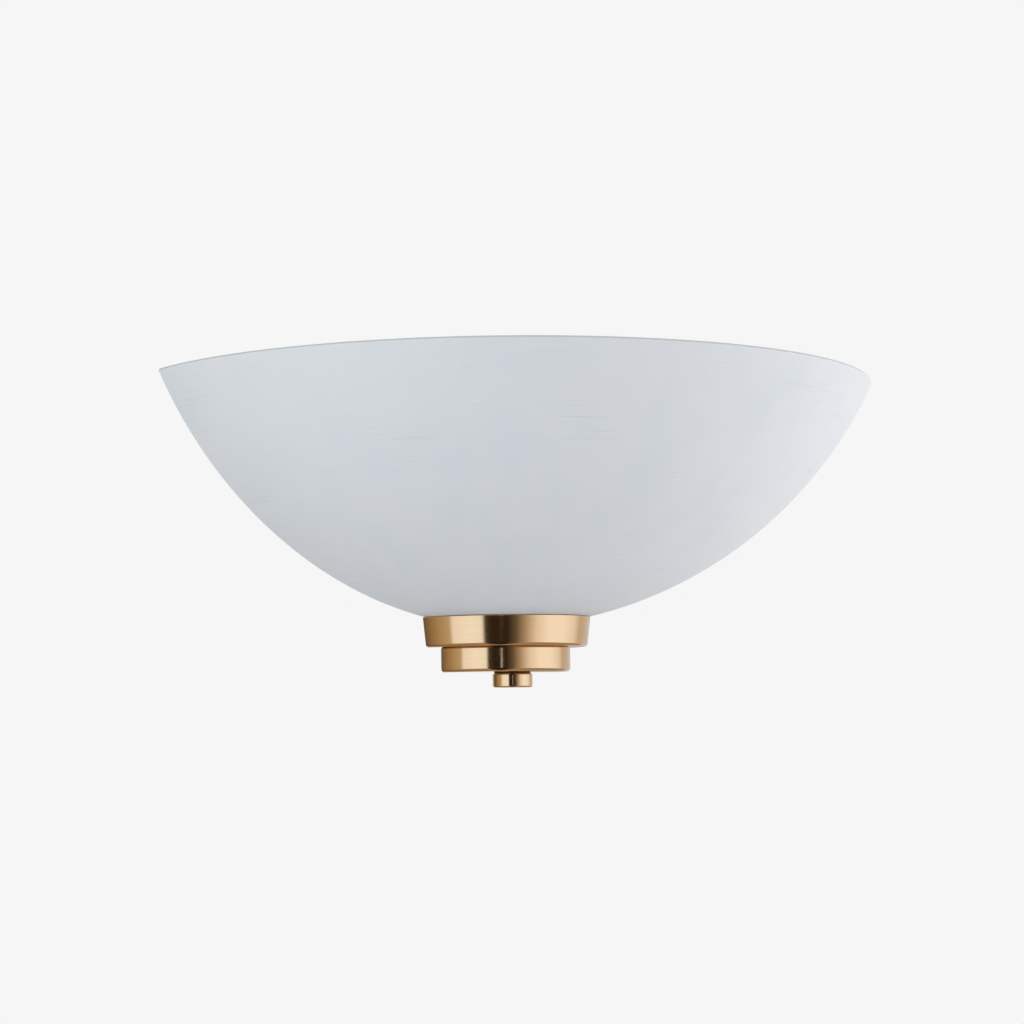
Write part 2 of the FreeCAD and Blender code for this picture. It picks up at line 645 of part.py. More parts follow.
def earth_tag():
    """Ring tag on the plate, with a barrel that is crimped on the earth wire."""
    eye = on_wall(pin(EARTH_WASHER_RADIUS, earth_tag_seat, earth_washer_seat), EARTH_X, EARTH_Z)
    strip_end = barrel_x + EARTH_TAG_BARREL_LENGTH
    low = (EARTH_X, face_y - EARTH_TAG_THICKNESS, EARTH_Z - barrel_radius)
    strip = box(low, (strip_end, face_y, EARTH_Z + barrel_radius))
    start = Vector(barrel_x, barrel_y, EARTH_Z)
    barrel = Part.makeCylinder(barrel_radius, EARTH_TAG_BARREL_LENGTH, start, X_AXIS)
    bore = Part.makeCylinder(WIRE_RADIUS + FIT_GAP, EARTH_TAG_BARREL_LENGTH, start, X_AXIS)
    hole = on_wall(pin(EARTH_SCREW_RADIUS + FIT_GAP, earth_tag_seat, earth_washer_seat), EARTH_X, EARTH_Z)
    return eye.fuse([strip, barrel]).cut([bore, hole]).removeSplitter()


def lampholder_bracket():
    """Folded arm: a riveted foot, a neck, and a round end that carries the lampholder."""
    half_foot = FOOT_HEIGHT / 2
    foot_low = (arm_x, face_y - ARM_THICKNESS, lamp_z - half_foot)
    foot = box(foot_low, (holder_x + FOOT_LENGTH, face_y, lamp_z + half_foot))
    corners = [e for e in edges_along(foot, Y_AXIS) if e.BoundBox.XMin > holder_x]
    foot = foot.makeFillet(RIVET_HEAD_RADIUS, corners)
    neck = box((arm_x, lamp_y, lamp_z - ARM_NECK / 2), (holder_x, face_y, lamp_z + ARM_NECK / 2))
    root = box((arm_x, face_y - ARM_ROOT, foot_low[2]), (holder_x, face_y, lamp_z + half_foot))
    end = on_lamp_axis(pin(HOLDER_RADIUS, -ARM_THICKNESS, 0))
    body = foot.fuse([neck, root, end]).removeSplitter()
    at_fold = [e for e in edges_along(body, Z_AXIS) if e.BoundBox.YMin > face_y - FIT_GAP]
    body = body.makeFillet(ARM_THICKNESS, [e for e in at_fold if e.BoundBox.XMax < holder_x])
    window = on_lamp_axis(slot_bar(recess_length, HOLDER_RECESS_WIDTH, -ARM_THICKNESS, 0))
    screw_holes = holder_screw_pins(HOLDER_SCREW_RADIUS + FIT_GAP, -ARM_THICKNESS, 0)
    rivet_hole = pin(RIVET_RADIUS + FIT_GAP, -face_y, ARM_THICKNESS - face_y)
    holes = [on_lamp_axis(hole) for hole in screw_holes]
    holes += [on_wall(rivet_hole, rivet_x, z) for z in rivet_zs]
    return body.cut([window] + holes)


def holder_screw_pins(radius, low, high):
    """Round pins at the two fixing places of the lampholder, about the Z axis."""
    return [pin(radius, low, high).translated(Vector(0, s * HOLDER_SCREW_OFFSET, 0)) for s in (-1, 1)]


def bracket_rivets():
    """Rivets through the arm's foot and the plate's raised centre."""
    back = RAISED_DEPTH - RIVET_HEAD_HEIGHT
    head = -face_y + ARM_THICKNESS
    rivet = panhead(RIVET_RADIUS, RIVET_HEAD_RADIUS, RIVET_HEAD_HEIGHT, back, head)
    rivet = rivet.fuse(pin(RIVET_HEAD_RADIUS, back, RAISED_DEPTH)).removeSplitter()
    return Part.makeCompound([on_wall(rivet, rivet_x, z) for z in rivet_zs])


def lampholder_body():
    """Porcelain body: a socket for the lamp, and a recess at the back for the wires."""
    mouth = HOLDER_LENGTH - HOLDER_MOUTH_LENGTH
    step = HOLDER_MOUTH_RADIUS - HOLDER_RADIUS
    lip = HOLDER_LENGTH - HOLDER_ROUND
    foot_bend = arc((HOLDER_RADIUS - HOLDER_ROUND, HOLDER_ROUND), HOLDER_ROUND, -90, 0)
    lip_bend = arc((HOLDER_MOUTH_RADIUS - HOLDER_ROUND, lip), HOLDER_ROUND, 0, 90)
    outside = [(HOLDER_RADIUS - HOLDER_ROUND, 0), foot_bend, (HOLDER_RADIUS, mouth)]
    outside += [(HOLDER_MOUTH_RADIUS, mouth + step), (HOLDER_MOUTH_RADIUS, lip), lip_bend]
    socket = [(holder_bore, HOLDER_LENGTH), (holder_bore, holder_floor), (0, holder_floor)]
    body = turned(outline((0, 0), *outside, *socket))
    recess = slot_bar(recess_length, HOLDER_RECESS_WIDTH, 0, HOLDER_RECESS_DEPTH)
    holes = holder_screw_pins(HOLDER_SCREW_RADIUS + FIT_GAP, 0, HOLDER_SCREW_DEPTH + HOLE_GAP)
    post_hole = pin(POST_PIN_RADIUS + FIT_GAP, HOLDER_RECESS_DEPTH, holder_floor)
    holes += [place_post(post_hole, offset) for offset in post_offsets]
    return on_lamp_axis(body.cut([recess] + holes))


def place_post(shape, offset):
    """Move a shape on the Z axis to a post's place in the lampholder."""
    return shape.translated(Vector(offset, 0, 0))


def lampholder_shell():
    """Screw shell as a plain tube, with a contact ring turned in at its foot."""
    low = holder_floor
    tube = ring(shell_inner, shell_outer, low, HOLDER_LENGTH - SHELL_MOUTH_GAP)
    foot = ring(shell_outer - SHELL_RING_WIDTH, shell_outer, low, low + SHELL_WALL)
    hole = place_post(pin(POST_PIN_RADIUS + FIT_GAP, low, low + SHELL_WALL), ring_post_offset)
    return on_lamp_axis(tube.fuse(foot).removeSplitter().cut(hole))


def lampholder_contact():
    """Spring tongue: riveted at its foot, bent up to press on the lamp's centre contact."""
    low = holder_floor
    high = low + TONGUE_RISE
    outer = -LIVE_POST_OFFSET - TONGUE_WIDTH / 2
    knee = -LIVE_POST_OFFSET + TONGUE_WIDTH / 2
    tip = TONGUE_WIDTH / 2
    under = [(outer, low), (knee, low), (0, high), (tip, high)]
    over = [(x, h + TONGUE_THICKNESS) for x, h in under[::-1]]
    strip = outline(*under, *over).extrude(Vector(0, TONGUE_WIDTH, 0))
    strip = strip.translated(Vector(0, -TONGUE_WIDTH / 2, 0))
    hole = place_post(pin(POST_PIN_RADIUS + FIT_GAP, low, low + TONGUE_THICKNESS), -LIVE_POST_OFFSET)
    return on_lamp_axis(strip.cut(hole))


def lampholder_posts():
    """Two brass posts in the recess, each with a pin through the porcelain to its contact."""
    posts = []
    for offset, contact in zip(post_offsets, (TONGUE_THICKNESS, SHELL_WALL)):
        head = pin(POST_RADIUS, post_start, HOLDER_RECESS_DEPTH)
        shank = pin(POST_PIN_RADIUS, HOLDER_RECESS_DEPTH, holder_floor + contact)
        posts.append(on_lamp_axis(place_post(head.fuse(shank).removeSplitter(), offset)))
    return Part.makeCompound(posts)


def lampholder_screws():
    """Two screws through the arm into the foot of the lampholder."""
    screws = []
    head = HOLDER_SCREW_HEAD_RADIUS
    for side in (-1, 1):
        screw = panhead(HOLDER_SCREW_RADIUS, head, HOLDER_SCREW_RADIUS, -HOLDER_SCREW_DEPTH, ARM_THICKNESS)
        screw = screw.rotated(ORIGIN, Y_AXIS, 180).translated(Vector(0, side * HOLDER_SCREW_OFFSET, 0))
        screws.append(on_lamp_axis(screw))
    return Part.makeCompound(screws)


def lamp_contact():
    """Centre contact at the lamp's tip, pressed on the spring tongue."""
    bend = arc((EYELET_RADIUS - EYELET_HEIGHT, eyelet_top), EYELET_HEIGHT, -90, 0)
    tip = EYELET_RADIUS - EYELET_HEIGHT
    return on_lamp_axis(turned(outline((0, tongue_top), (tip, tongue_top), bend, (0, eyelet_top))))


def lamp_cap_insulator():
    """Insulating cone between the centre contact and the cap."""
    end = eyelet_top + INSULATOR_HEIGHT
    wide = CAP_RADIUS - CAP_LIP - MOVING_GAP
    skirt = end - WALL_SHARE * INSULATOR_HEIGHT
    face = outline((0, eyelet_top), (EYELET_RADIUS, eyelet_top), (wide, skirt), (wide, end), (0, end))
    return on_lamp_axis(turned(face))


def lamp_cap():
    """Screw cap as a plain cup, turned in at its tip."""
    bend = max(CAP_ROUND, CAP_WALL + FIT_GAP)
    centre = (CAP_RADIUS - bend, cap_start + bend)
    outside = arc(centre, bend, 0, -90)
    inside = arc(centre, bend - CAP_WALL, -90, 0)
    lip = CAP_RADIUS - CAP_LIP
    inner = CAP_RADIUS - CAP_WALL
    start = (CAP_RADIUS, cap_end)
    tip = [(lip, cap_start), (lip, cap_start + CAP_WALL), (centre[0], cap_start + CAP_WALL)]
    face = outline(start, (CAP_RADIUS, centre[1]), outside, *tip, inside, (inner, cap_end))
    return on_lamp_axis(turned(face))


def lamp_housing():
    """Plastic body of the lamp: a core in the cap, a short neck, then a swelling flare."""
    core = CAP_RADIUS - CAP_WALL - FIT_GAP
    start = eyelet_top + INSULATOR_HEIGHT
    neck_end = cap_end + LAMP_NECK_LENGTH
    neck_radius = CAP_RADIUS + HOLE_GAP
    run = housing_end - neck_end
    rise = LAMP_SHOULDER_RADIUS - neck_radius
    bow = (neck_radius + rise / 2 - FLARE_BOW * run, neck_end + run / 2 + FLARE_BOW * rise)
    core_points = [(core - CAP_ROUND, start), (core, start + CAP_ROUND), (core, cap_end)]
    neck_points = [(neck_radius, cap_end), (neck_radius, neck_end)]
    flare = (bow, (LAMP_SHOULDER_RADIUS, housing_end))
    face = outline((0, start), *core_points, *neck_points, flare, (0, housing_end))
    return on_lamp_axis(turned(face))


def lamp_envelope():
    """Thin opal globe of the lamp, standing on its housing."""
    centre = (0, globe_centre)
    inner = LAMP_RADIUS - ENVELOPE_WALL
    outer_foot = -math.degrees(math.asin(globe_rise / LAMP_RADIUS))
    inner_foot = -math.degrees(math.asin(globe_rise / inner))
    outside = arc(centre, LAMP_RADIUS, outer_foot, 90)
    inside = arc(centre, inner, 90, inner_foot)
    start = (LAMP_SHOULDER_RADIUS, housing_end)
    return on_lamp_axis(turned(outline(start, outside, (0, globe_centre + inner), inside)))


def tube_along(name, points):
    """Round wire along straight runs joined by arcs as large as their runs allow."""
    here = Vector(*points[0])
    edges = []
    radii = []
    for before, at, after in zip(points, points[1:], points[2:]):
        before, at, after = Vector(*before), Vector(*at), Vector(*after)
        back = (before - at).normalize()
        ahead = (after - at).normalize()
        turn = math.pi - back.getAngle(ahead)
        reach = WIRE_BEND_SHARE * min(at.distanceToPoint(before), at.distanceToPoint(after))
        radius = reach / math.tan(turn / 2)
        middle_way = (back + ahead).normalize()
        middle = at + middle_way * (radius / math.cos(turn / 2) - radius)
        edges.append(Part.makeLine(here, at + back * reach))
        edges.append(Part.Arc(at + back * reach, middle, at + ahead * reach).toShape())
        here = at + ahead * reach
        radii.append(round(radius, 1))
    edges.append(Part.makeLine(here, Vector(*points[-1])))
    path = Part.Wire(edges)
    section = Part.Wire(Part.makeCircle(WIRE_RADIUS, Vector(*points[0]), edges[0].tangentAt(0)))
    tube = path.makePipeShell([section], True, False)
    expected = math.pi * WIRE_RADIUS**2 * path.Length
    print(name, "radii", radii, "volume over section times length", round(tube.Volume / expected, 4))
    return tube


def wire_to_post(name, pole, run_z, loop_x, post_offset):
    """Wire from a pole under the grommet, round the arm and into the lampholder's recess."""
    post_z = lamp_z - post_offset
    start = (pole, bore_y, wire_start_z)
    below = (pole, bore_y, run_z)
    sag = ((pole + loop_x) / 2, bore_y - WIRE_SAG, run_z - WIRE_SAG)
    corner = (loop_x, bore_y, run_z)
    outside = (loop_x, lamp_y, post_z)
    end = (holder_x + post_start, lamp_y, post_z)
    return tube_along(name, [start, below, sag, corner, outside, end])


def live_wire():
    """Lead from the second pole to the post of the centre contact."""
    return wire_to_post("live_wire", pole_xs[1], live_z, arm_x - LOOP_OUT, post_offsets[0])


def neutral_wire():
    """Lead from the third pole to the post of the screw shell."""
    loop_x = arm_x - LOOP_OUT - WIRE_STEP
    return wire_to_post("neutral_wire", pole_xs[2], neutral_z, loop_x, post_offsets[1])


def earth_wire():
    """Lead from the first pole under the grommet to the earth tag."""
    start = (pole_xs[0], bore_y, wire_start_z)
    below = (pole_xs[0], bore_y, EARTH_Z)
    near = (barrel_x + 2 * EARTH_TAG_BARREL_LENGTH, barrel_y, EARTH_Z)
    end = (barrel_x, barrel_y, EARTH_Z)
    return tube_along("earth_wire", [start, below, near, end])


NODES = [
    wall_plate,
    rod_bracket,
    threaded_rod,
    rod_nut_upper,
    rod_nut_lower,
    rod_washer,
    cable_grommet,
    terminal_block,
    terminal_inserts,
    terminal_screws,
    block_screw,
    earth_screw,
    earth_washer,
    earth_tag,
    lampholder_bracket,
    bracket_rivets,
    lampholder_body,
    lampholder_shell,
    lampholder_contact,
    lampholder_posts,
    lampholder_screws,
    live_wire,
    neutral_wire,
    earth_wire,
    glass_shade,
    shade_gasket,
    seat_ring,
    gallery_upper,
    gallery_lower,
    finial_washer,
    finial_nut,
    lamp_envelope,
    lamp_housing,
    lamp_cap,
    lamp_cap_insulator,
    lamp_contact,
]

os.makedirs("parts", exist_ok=True)
for build in NODES:
    shape = build()
    if not shape.isValid() or not shape.Solids:
        raise ValueError(build.__name__ + " is not a sound solid")
    shape.exportStep("parts/" + build.__name__ + ".step")
    print(build.__name__, len(shape.Solids), "solids", round(shape.Volume, 1), "mm3")
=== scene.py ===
import json
import math

import bmesh
import bpy
import numpy as np
from bpy.props import FloatProperty, FloatVectorProperty, PointerProperty
from bpy.types import Operator, Panel, PropertyGroup
from mathutils import Matrix, Vector

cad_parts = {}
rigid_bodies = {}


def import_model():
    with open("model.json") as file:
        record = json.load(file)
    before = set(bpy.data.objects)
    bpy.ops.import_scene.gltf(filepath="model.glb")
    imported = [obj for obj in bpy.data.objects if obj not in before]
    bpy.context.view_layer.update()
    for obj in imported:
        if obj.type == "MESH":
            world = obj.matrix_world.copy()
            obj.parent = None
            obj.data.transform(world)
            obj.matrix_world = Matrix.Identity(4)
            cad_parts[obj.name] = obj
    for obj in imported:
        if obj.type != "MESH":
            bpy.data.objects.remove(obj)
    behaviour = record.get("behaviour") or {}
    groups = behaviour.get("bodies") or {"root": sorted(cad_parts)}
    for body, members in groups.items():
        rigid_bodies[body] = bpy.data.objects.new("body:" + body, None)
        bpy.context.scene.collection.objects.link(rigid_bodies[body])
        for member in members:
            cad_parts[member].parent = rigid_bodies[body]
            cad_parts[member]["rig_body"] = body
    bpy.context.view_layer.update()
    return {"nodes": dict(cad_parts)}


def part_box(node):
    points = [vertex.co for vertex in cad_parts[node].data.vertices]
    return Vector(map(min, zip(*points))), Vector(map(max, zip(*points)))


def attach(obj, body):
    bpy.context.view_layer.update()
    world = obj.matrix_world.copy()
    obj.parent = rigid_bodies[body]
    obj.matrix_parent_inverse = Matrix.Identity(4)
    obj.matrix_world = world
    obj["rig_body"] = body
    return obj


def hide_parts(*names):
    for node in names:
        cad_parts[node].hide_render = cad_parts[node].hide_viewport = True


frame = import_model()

bl_info = {
    "name": "Bowl Uplighter",
    "version": (1, 0, 0),
    "blender": (4, 5, 0),
    "location": "3D View > Sidebar > Uplighter",
    "description": "Half-bowl glass wall uplighter with a brass gallery, a lampholder and a lamp",
    "category": "Add Mesh",
}

# Lengths are in metres, the wall is the plane Y = 0 and the light stands out towards -Y
MM = 0.001

# Points closer than MERGE are one. A rounding has ROUND_STEPS faces and a point BESIDE each end,
# and a thread has THREAD_STEPS points along each pitch
MERGE = 0.001 * MM
ROUND_STEPS = 6
BESIDE = 0.05 * MM
SHARP_ANGLE = math.radians(32)
THREAD_STEPS = 10

SHADE_LOW, SHADE_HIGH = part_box("glass_shade")
FINIAL_LOW, FINIAL_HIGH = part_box("finial_nut")
WASHER_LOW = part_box("finial_washer")[0]
ROD_LOW, ROD_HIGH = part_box("threaded_rod")
HOLDER_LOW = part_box("lampholder_body")[0]
SHELL_LOW, SHELL_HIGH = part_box("lampholder_shell")
CAP_LOW, CAP_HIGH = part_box("lamp_cap")
HOUSING_LOW, HOUSING_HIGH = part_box("lamp_housing")
GLOBE_LOW, GLOBE_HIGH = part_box("lamp_envelope")

ROD_Y = (ROD_LOW.y + ROD_HIGH.y) / 2
ROD_RADIUS = (ROD_HIGH.x - ROD_LOW.x) / 2
WALL_GAP = -SHADE_HIGH.y
LAMP_Y = (CAP_LOW.y + CAP_HIGH.y) / 2
LAMP_Z = (CAP_LOW.z + CAP_HIGH.z) / 2

# Clearances in threaded bores, of the finial's spigot in its cup, and of the rod's end, and the
# rounding of the spigot's edge
RUNNING_GAP = 0.05 * MM
SPIGOT_GAP = 0.3 * MM
SPIGOT_EDGE = 0.3 * MM
BORE_BELOW_ROD = 0.5 * MM

# A cup's crest is at least MOUTH_MARGIN in from its outer rounding, and the inner rounding takes up
# a share of what is left. A nut's chamfer is no more than a share of its height
MOUTH_MARGIN = 0.06 * MM
INNER_EDGE_SHARE = 0.6
NUT_CHAMFER = 0.8 * MM
NUT_CHAMFER_SHARE = 0.4
NUT_LEAD_SHARE = 1.1

# Lamp and lampholder: sheet and globe walls, widths of the shell's ring and the cap's lip, the bend
# at the cap's end, and the lengths at their ends that have no thread
SHELL_WALL = 0.5 * MM
SHELL_RING = 5.4 * MM
SHELL_LEAD = 2.0 * MM
CAP_LIP = 3.6 * MM
CAP_BEND = 1.5 * MM
CAP_LEAD = 2.0 * MM
GLOBE_WALL = 1.2 * MM
HOLDER_SCREW_OFFSET = 13.5 * MM

# The lamp's housing: a core inside the cap, a collar round its mouth, then a flare up to a narrow
# land at the globe
CORE_EDGE = 1 * MM
COLLAR_STEP = 0.5 * MM
COLLAR_LENGTH = 4 * MM
COLLAR_ROUND = 6 * MM
FLARE_STEP = 5.2 * MM
FLARE_LENGTH = 12.5 * MM
FLARE_ROUND = 60 * MM
LAND = 1.2 * MM
HOUSING_EDGE = 0.3 * MM

# Slotted screws, in millimetres: head radius, seat, top, crown, half slot, shank radius and tip.
# Their places are (x, z, turn of the slot), and each is left at a turn of its own
HOLDER_SCREW = (3.7, 1.5, 3.4, 0.7, 0.45, 1.9, -10)
SCREWS = (
    ("earth_screw", (4.0, 7.8, 10.2, 0.9, 0.5, 1.95, 2.5), [(-25, -14.5, 0.5)]),
    ("block_screw", (0.9, 11.2, 12.6, 0.1, 0.2, 0.75, 2.5), [(30, 0, 0.2)]),
    (
        "terminal_screws",
        (1.4, 14.0, 18.0, 0.1, 0.28, 1.4, 13.999),
        [(x, z, 0.7 * x + z) for x in (15, 25, 35) for z in (-4, 4)],
    ),
)

# Wires: corners of each route in millimetres, from the terminal block to the far end. A bend takes
# up a share of its shorter run, and a wire's two colours meet on its WIRE_SIDE
WIRE_RADIUS = 1.2 * MM
WIRE_BEND_SHARE = 0.45
WIRE_SIDE = np.array([1, -1, -1]) / math.sqrt(3)
WIRE_ROUTES = {
    "live_wire": [
        (25, -12.7, -5.5), (25, -12.7, -19.5), (-20.75, -14.2, -21),
        (-66.5, -12.7, -19.5), (-66.5, -62, 13), (-53, -62, 13),
    ],
    "neutral_wire": [
        (35, -12.7, -5.5), (35, -12.7, -24.5), (-18.25, -14.2, -26),
        (-71.5, -12.7, -24.5), (-71.5, -62, -3.2), (-53, -62, -3.2),
    ],
    "earth_wire": [(15, -12.7, -5.5), (15, -12.7, -14.5), (-8.4, -8, -14.5), (-20.4, -8, -14.5)],
}

# Most of a noise's values lie in NOISE_RANGE. Clouds shade over its middle, and a finish's gloss
# varies over grains that are FINER times as small
NOISE_RANGE = (0.3, 0.7)
CLOUD_RANGE = (0.35, 0.65)
FINER = 6
WHITE = (1.0, 1.0, 1.0)

# Studio lamps as (name, watts, size, tint, place)
LAMPS = (
    ("key", 39.5, 1.6, "#FFFFFF", (1.9, -1.1, 0.15)),
    ("fill", 27.5, 1.6, "#F9FDFF", (-1.95, -0.95, 0.55)),
    ("top", 10, 1.2, "#FFFFFF", (0.1, -0.1, 2.0)),
    ("rear", 18, 1.6, "#FFFFFF", (0.5, 2.1, 0.9)),
)

# Floor: radii of its rings, and where it fades to the backdrop
FLOOR_RINGS = (0, 0.5, 1, 1.5, 2, 3, 5, 8)
FLOOR_FADE = (0.5, 0.9)

# Glowing screens round the studio, seen only in reflections, as (degrees from the camera, shade):
# their bright and dark bearings are the painted highlights and dark bands in the brass. The strip
# in front of them paints a thin glint, as (first degree, last degree, lowest, highest, share of the
# screens' distance, shade). Underfoot the screens are held down to a plain shade, which paints
# darker reflections in the cups' foot bends, and it gives way to the screens between the
# UNDER_ENDS, out from the axis
SURROUND_RADIUS = 1.3
SURROUND_HEIGHTS = (0.2, 1.0, 2.0)
SCREENS_BEARING = 33.89
SCREENS_GLOW = 1.3
SCREENS = (
    (-180, "#D6D6D4"), (-150, "#D2D1CE"), (-132, "#6E6459"), (-114, "#5A5044"), (-92, "#917E5F"),
    (-66, "#AFA28C"), (-62, "#DFE2F0"), (-40, "#E5EFFF"), (-22, "#E3EDFB"), (-19, "#37312A"),
    (-10, "#2A2118"), (10, "#2A2118"), (21, "#5C5248"), (32, "#9A8E80"), (48, "#D4D3D7"),
    (66, "#E9EFFC"), (90, "#E9EDFA"), (110, "#D7D6DC"), (122, "#B5ABA4"), (136, "#B5AFAA"),
    (165, "#BCBCB8"), (180, "#9F9A97"),
)
UNDER_SHADE = "#93826F"
UNDER_ENDS = (0.95 * SURROUND_RADIUS, 0.99 * SURROUND_RADIUS)
GLINT_STRIP = (1.5, 3.5, -0.27, 1.0, 0.98, "#B4BDC8")


def linear(hex_value):
    """Linear red, green and blue of an sRGB hex value."""
    channels = [int(hex_value[i:i + 2], 16) / 255 for i in (1, 3, 5)]
    return [c / 12.92 if c <= 0.04045 else ((c + 0.055) / 1.055) ** 2.4 for c in channels]


def colour(name, hex_value, description):
    """Colour property with an sRGB hex value as its default."""
    return FloatVectorProperty(
        name=name,
        description=description,
        subtype="COLOR",
        size=3,
        min=0.0,
        max=1.0,
        default=linear(hex_value),
    )


def length(name, millimetres, description):
    """Length property with its default in millimetres."""
    default = millimetres * MM
    return FloatProperty(
        name=name, description=description, unit="LENGTH", min=0.0, precision=5, default=default
    )


def angle(name, degrees, description):
    """Angle property with its default in degrees."""
    default = math.radians(degrees)
    return FloatProperty(name=name, description=description, subtype="ANGLE", default=default)


class UplighterShade(PropertyGroup):
    """Sizes and colours of the glass bowl."""

    width: length("Width", 350, "Width of the bowl at its rim, before the rim is rounded")
    depth: length("Depth", 110, "Height of the bowl from its rim to its lowest point")
    wall: length("Wall", 4.5, "Thickness of the glass")
    rim_round: length("Rim rounding", 1.0, "Radius of the ground and polished rim edges")
    notch: length("Notch", 5.5, "Half width of the notch that the rod passes through")
    glass: colour("Glass", "#DBDDE0", "Satin white of the glass")
    cool: colour("Cool patches", "#D2D8DF", "Faint blue where the white layer is thinner")
    streak: colour("Streaks", "#B9C1CA", "Grey of the fine drawn streaks")
    # The rim colour is painted shade: a darker grey band along the top of the rounded rim
    rim: colour("Rim", "#B5B7B8", "Grey of the clear layer that shows at the ground rim")


class UplighterMetal(PropertyGroup):
    """Sizes and colours of the metal parts."""

    taper: length("Cup taper", 1.6, "How much narrower the upper cup is at its foot")
    cup_wall: length("Cup wall", 1.0, "Thickness of the drawn brass")
    cup_round: length("Cup bend", 1.6, "Outer radius of the bend at the foot of each cup")
    upper_mouth: length("Upper mouth", 0.25, "Outer rounding of the upper cup's mouth")
    lower_mouth: length("Lower mouth", 0.8, "Outer rounding of the lower cup's mouth")
    upper_hole: length("Upper hole", 5.5, "Radius of the rod's hole in the upper cup")
    lower_hole: length("Lower hole", 6.55, "Radius of the finial's hole in the lower cup")
    finial_round: length("Finial rounding", 0.8, "Radius of the finial's edges")
    thread_pitch: length("Rod pitch", 1.0, "Pitch of the rod's thread")
    thread_depth: length("Rod thread depth", 0.6, "Depth of the rod's thread")
    brass: colour("Brass", "#EFCDA0", "Polished and lacquered brass")
    zinc: colour("Zinc", "#B9BCC0", "Zinc plated steel")
    passivate: colour("Yellow passivate", "#BFA86A", "Yellow passivated steel of the rod and nuts")
    contact: colour("Contact brass", "#C9A659", "Plain brass of the contacts")
    nickel: colour("Nickel", "#C4C1BA", "Nickel plated lamp cap")


class UplighterFittings(PropertyGroup):
    """Sizes and colours of the lampholder, the lamp and the wires."""

    lamp_pitch: length("Lamp pitch", 25.4 / 7, "Pitch of the lamp's screw thread")
    lamp_thread: length("Lamp thread depth", 0.9, "Depth of the lamp's rolled thread")
    porcelain: colour("Porcelain", "#EFEDE6", "Glazed white porcelain")
    globe: colour("Globe", "#F1F0EC", "Opal plastic of the lamp's globe")
    housing: colour("Housing", "#EAE9E4", "White plastic of the lamp's housing")
    nylon: colour("Nylon", "#E6E3D6", "Natural nylon of the terminal block")
    black_rubber: colour("Black rubber", "#2A2A2B", "Rubber of the cable grommet")
    pad_rubber: colour("Pad rubber", "#C9C8C3", "Silicone rubber of the pads")
    fibre: colour("Fibre", "#3A2A24", "Vulcanised fibre of the finial's washer")
    vitrite: colour("Cap glass", "#17151A", "Black glass between cap and centre contact")
    live: colour("Live", "#6B4127", "Insulation of the live wire")
    neutral: colour("Neutral", "#2B5AA8", "Insulation of the neutral wire")
    earth: colour("Earth", "#4E9A3C", "Green of the earth wire")
    earth_stripe: colour("Earth stripe", "#E2CF3A", "Yellow of the earth wire")


class UplighterStage(PropertyGroup):
    """The studio round the light."""

    background: colour("Background", "#F6F6F6", "Colour of the backdrop and the far floor")
    floor: colour("Floor", "#E7E9EB", "Colour of the floor under the light")
    floor_drop: length("Floor drop", 600, "Height of the rim over the floor")
    camera_azimuth: angle("Camera azimuth", -33.89, "Direction of the camera round the light")
    camera_distance: length("Camera distance", 1083.8, "Distance out from the wall's middle")
    camera_height: length("Camera height", -101.2, "Height of the camera over the wall slots")
    camera_yaw: angle("Camera yaw", 0.344, "Turn of the camera to the right")
    camera_pitch: angle("Camera pitch", 4.761, "Tilt of the camera upwards")
    camera_roll: angle("Camera roll", -0.825, "Turn of the camera about its own axis")
    lens: FloatProperty(
        name="Lens", description="Focal length in millimetres", default=81.5, min=10.0
    )
    ambient: FloatProperty(
        name="Ambient", description="Strength of the even light", default=0.31, min=0.0
    )


class UplighterSettings(PropertyGroup):
    """All settings of the light."""

    shade: PointerProperty(type=UplighterShade)
    metal: PointerProperty(type=UplighterMetal)
    fittings: PointerProperty(type=UplighterFittings)
    stage: PointerProperty(type=UplighterStage)


# Shapes


def rounded_line(*corners):
    """Line through corners; the last number of each is the radius of its rounding.

    A rounding is an arc that touches both sides: its centre lies on the corner's bisector, and its
    points swing evenly from one touching point to the other. One more point close beside each end
    keeps the straight sides' shading flat. It works in a plane and in space.
    """
    parts = [np.array([corners[0][:-1]])]
    swing = np.linspace(0, 1, ROUND_STEPS + 1)[:, None]
    for before, here, after in zip(corners, corners[1:], corners[2:]):
        corner = np.array(here[:-1])
        if not here[-1]:
            parts.append(corner[None])
            continue
        back = np.array(before[:-1]) - corner
        ahead = np.array(after[:-1]) - corner
        back /= np.linalg.norm(back)
        ahead /= np.linalg.norm(ahead)
        half = math.acos(np.clip(back @ ahead, -1, 1)) / 2
        turn = math.pi - 2 * half
        reach = here[-1] / math.tan(half)
        centre = corner + (back + ahead) / np.linalg.norm(back + ahead) * here[-1] / math.sin(half)
        start, end = corner + back * reach - centre, corner + ahead * reach - centre
        blend = start * np.sin((1 - swing) * turn) + end * np.sin(swing * turn)
        arc = centre + blend / math.sin(turn)
        parts += [arc[:1] + back * BESIDE, arc, arc[-1:] + ahead * BESIDE]
    parts.append(np.array([corners[-1][:-1]]))
    return np.concatenate(parts)


def distances(line):
    """How far along a line each of its points is: the running sum of the gaps between them."""
    return np.concatenate([[0], np.cumsum(np.linalg.norm(np.diff(line, axis=0), axis=1))])


def dense(line, step):
    """The same line with points no further apart than a step, spread evenly along its length."""
    run = distances(line)
    even = np.linspace(0, run[-1], int(run[-1] / step) + 2)
    along = np.unique(np.concatenate([run, even]))
    return np.stack([np.interp(along, run, line[:, axis]) for axis in (0, 1)], -1)


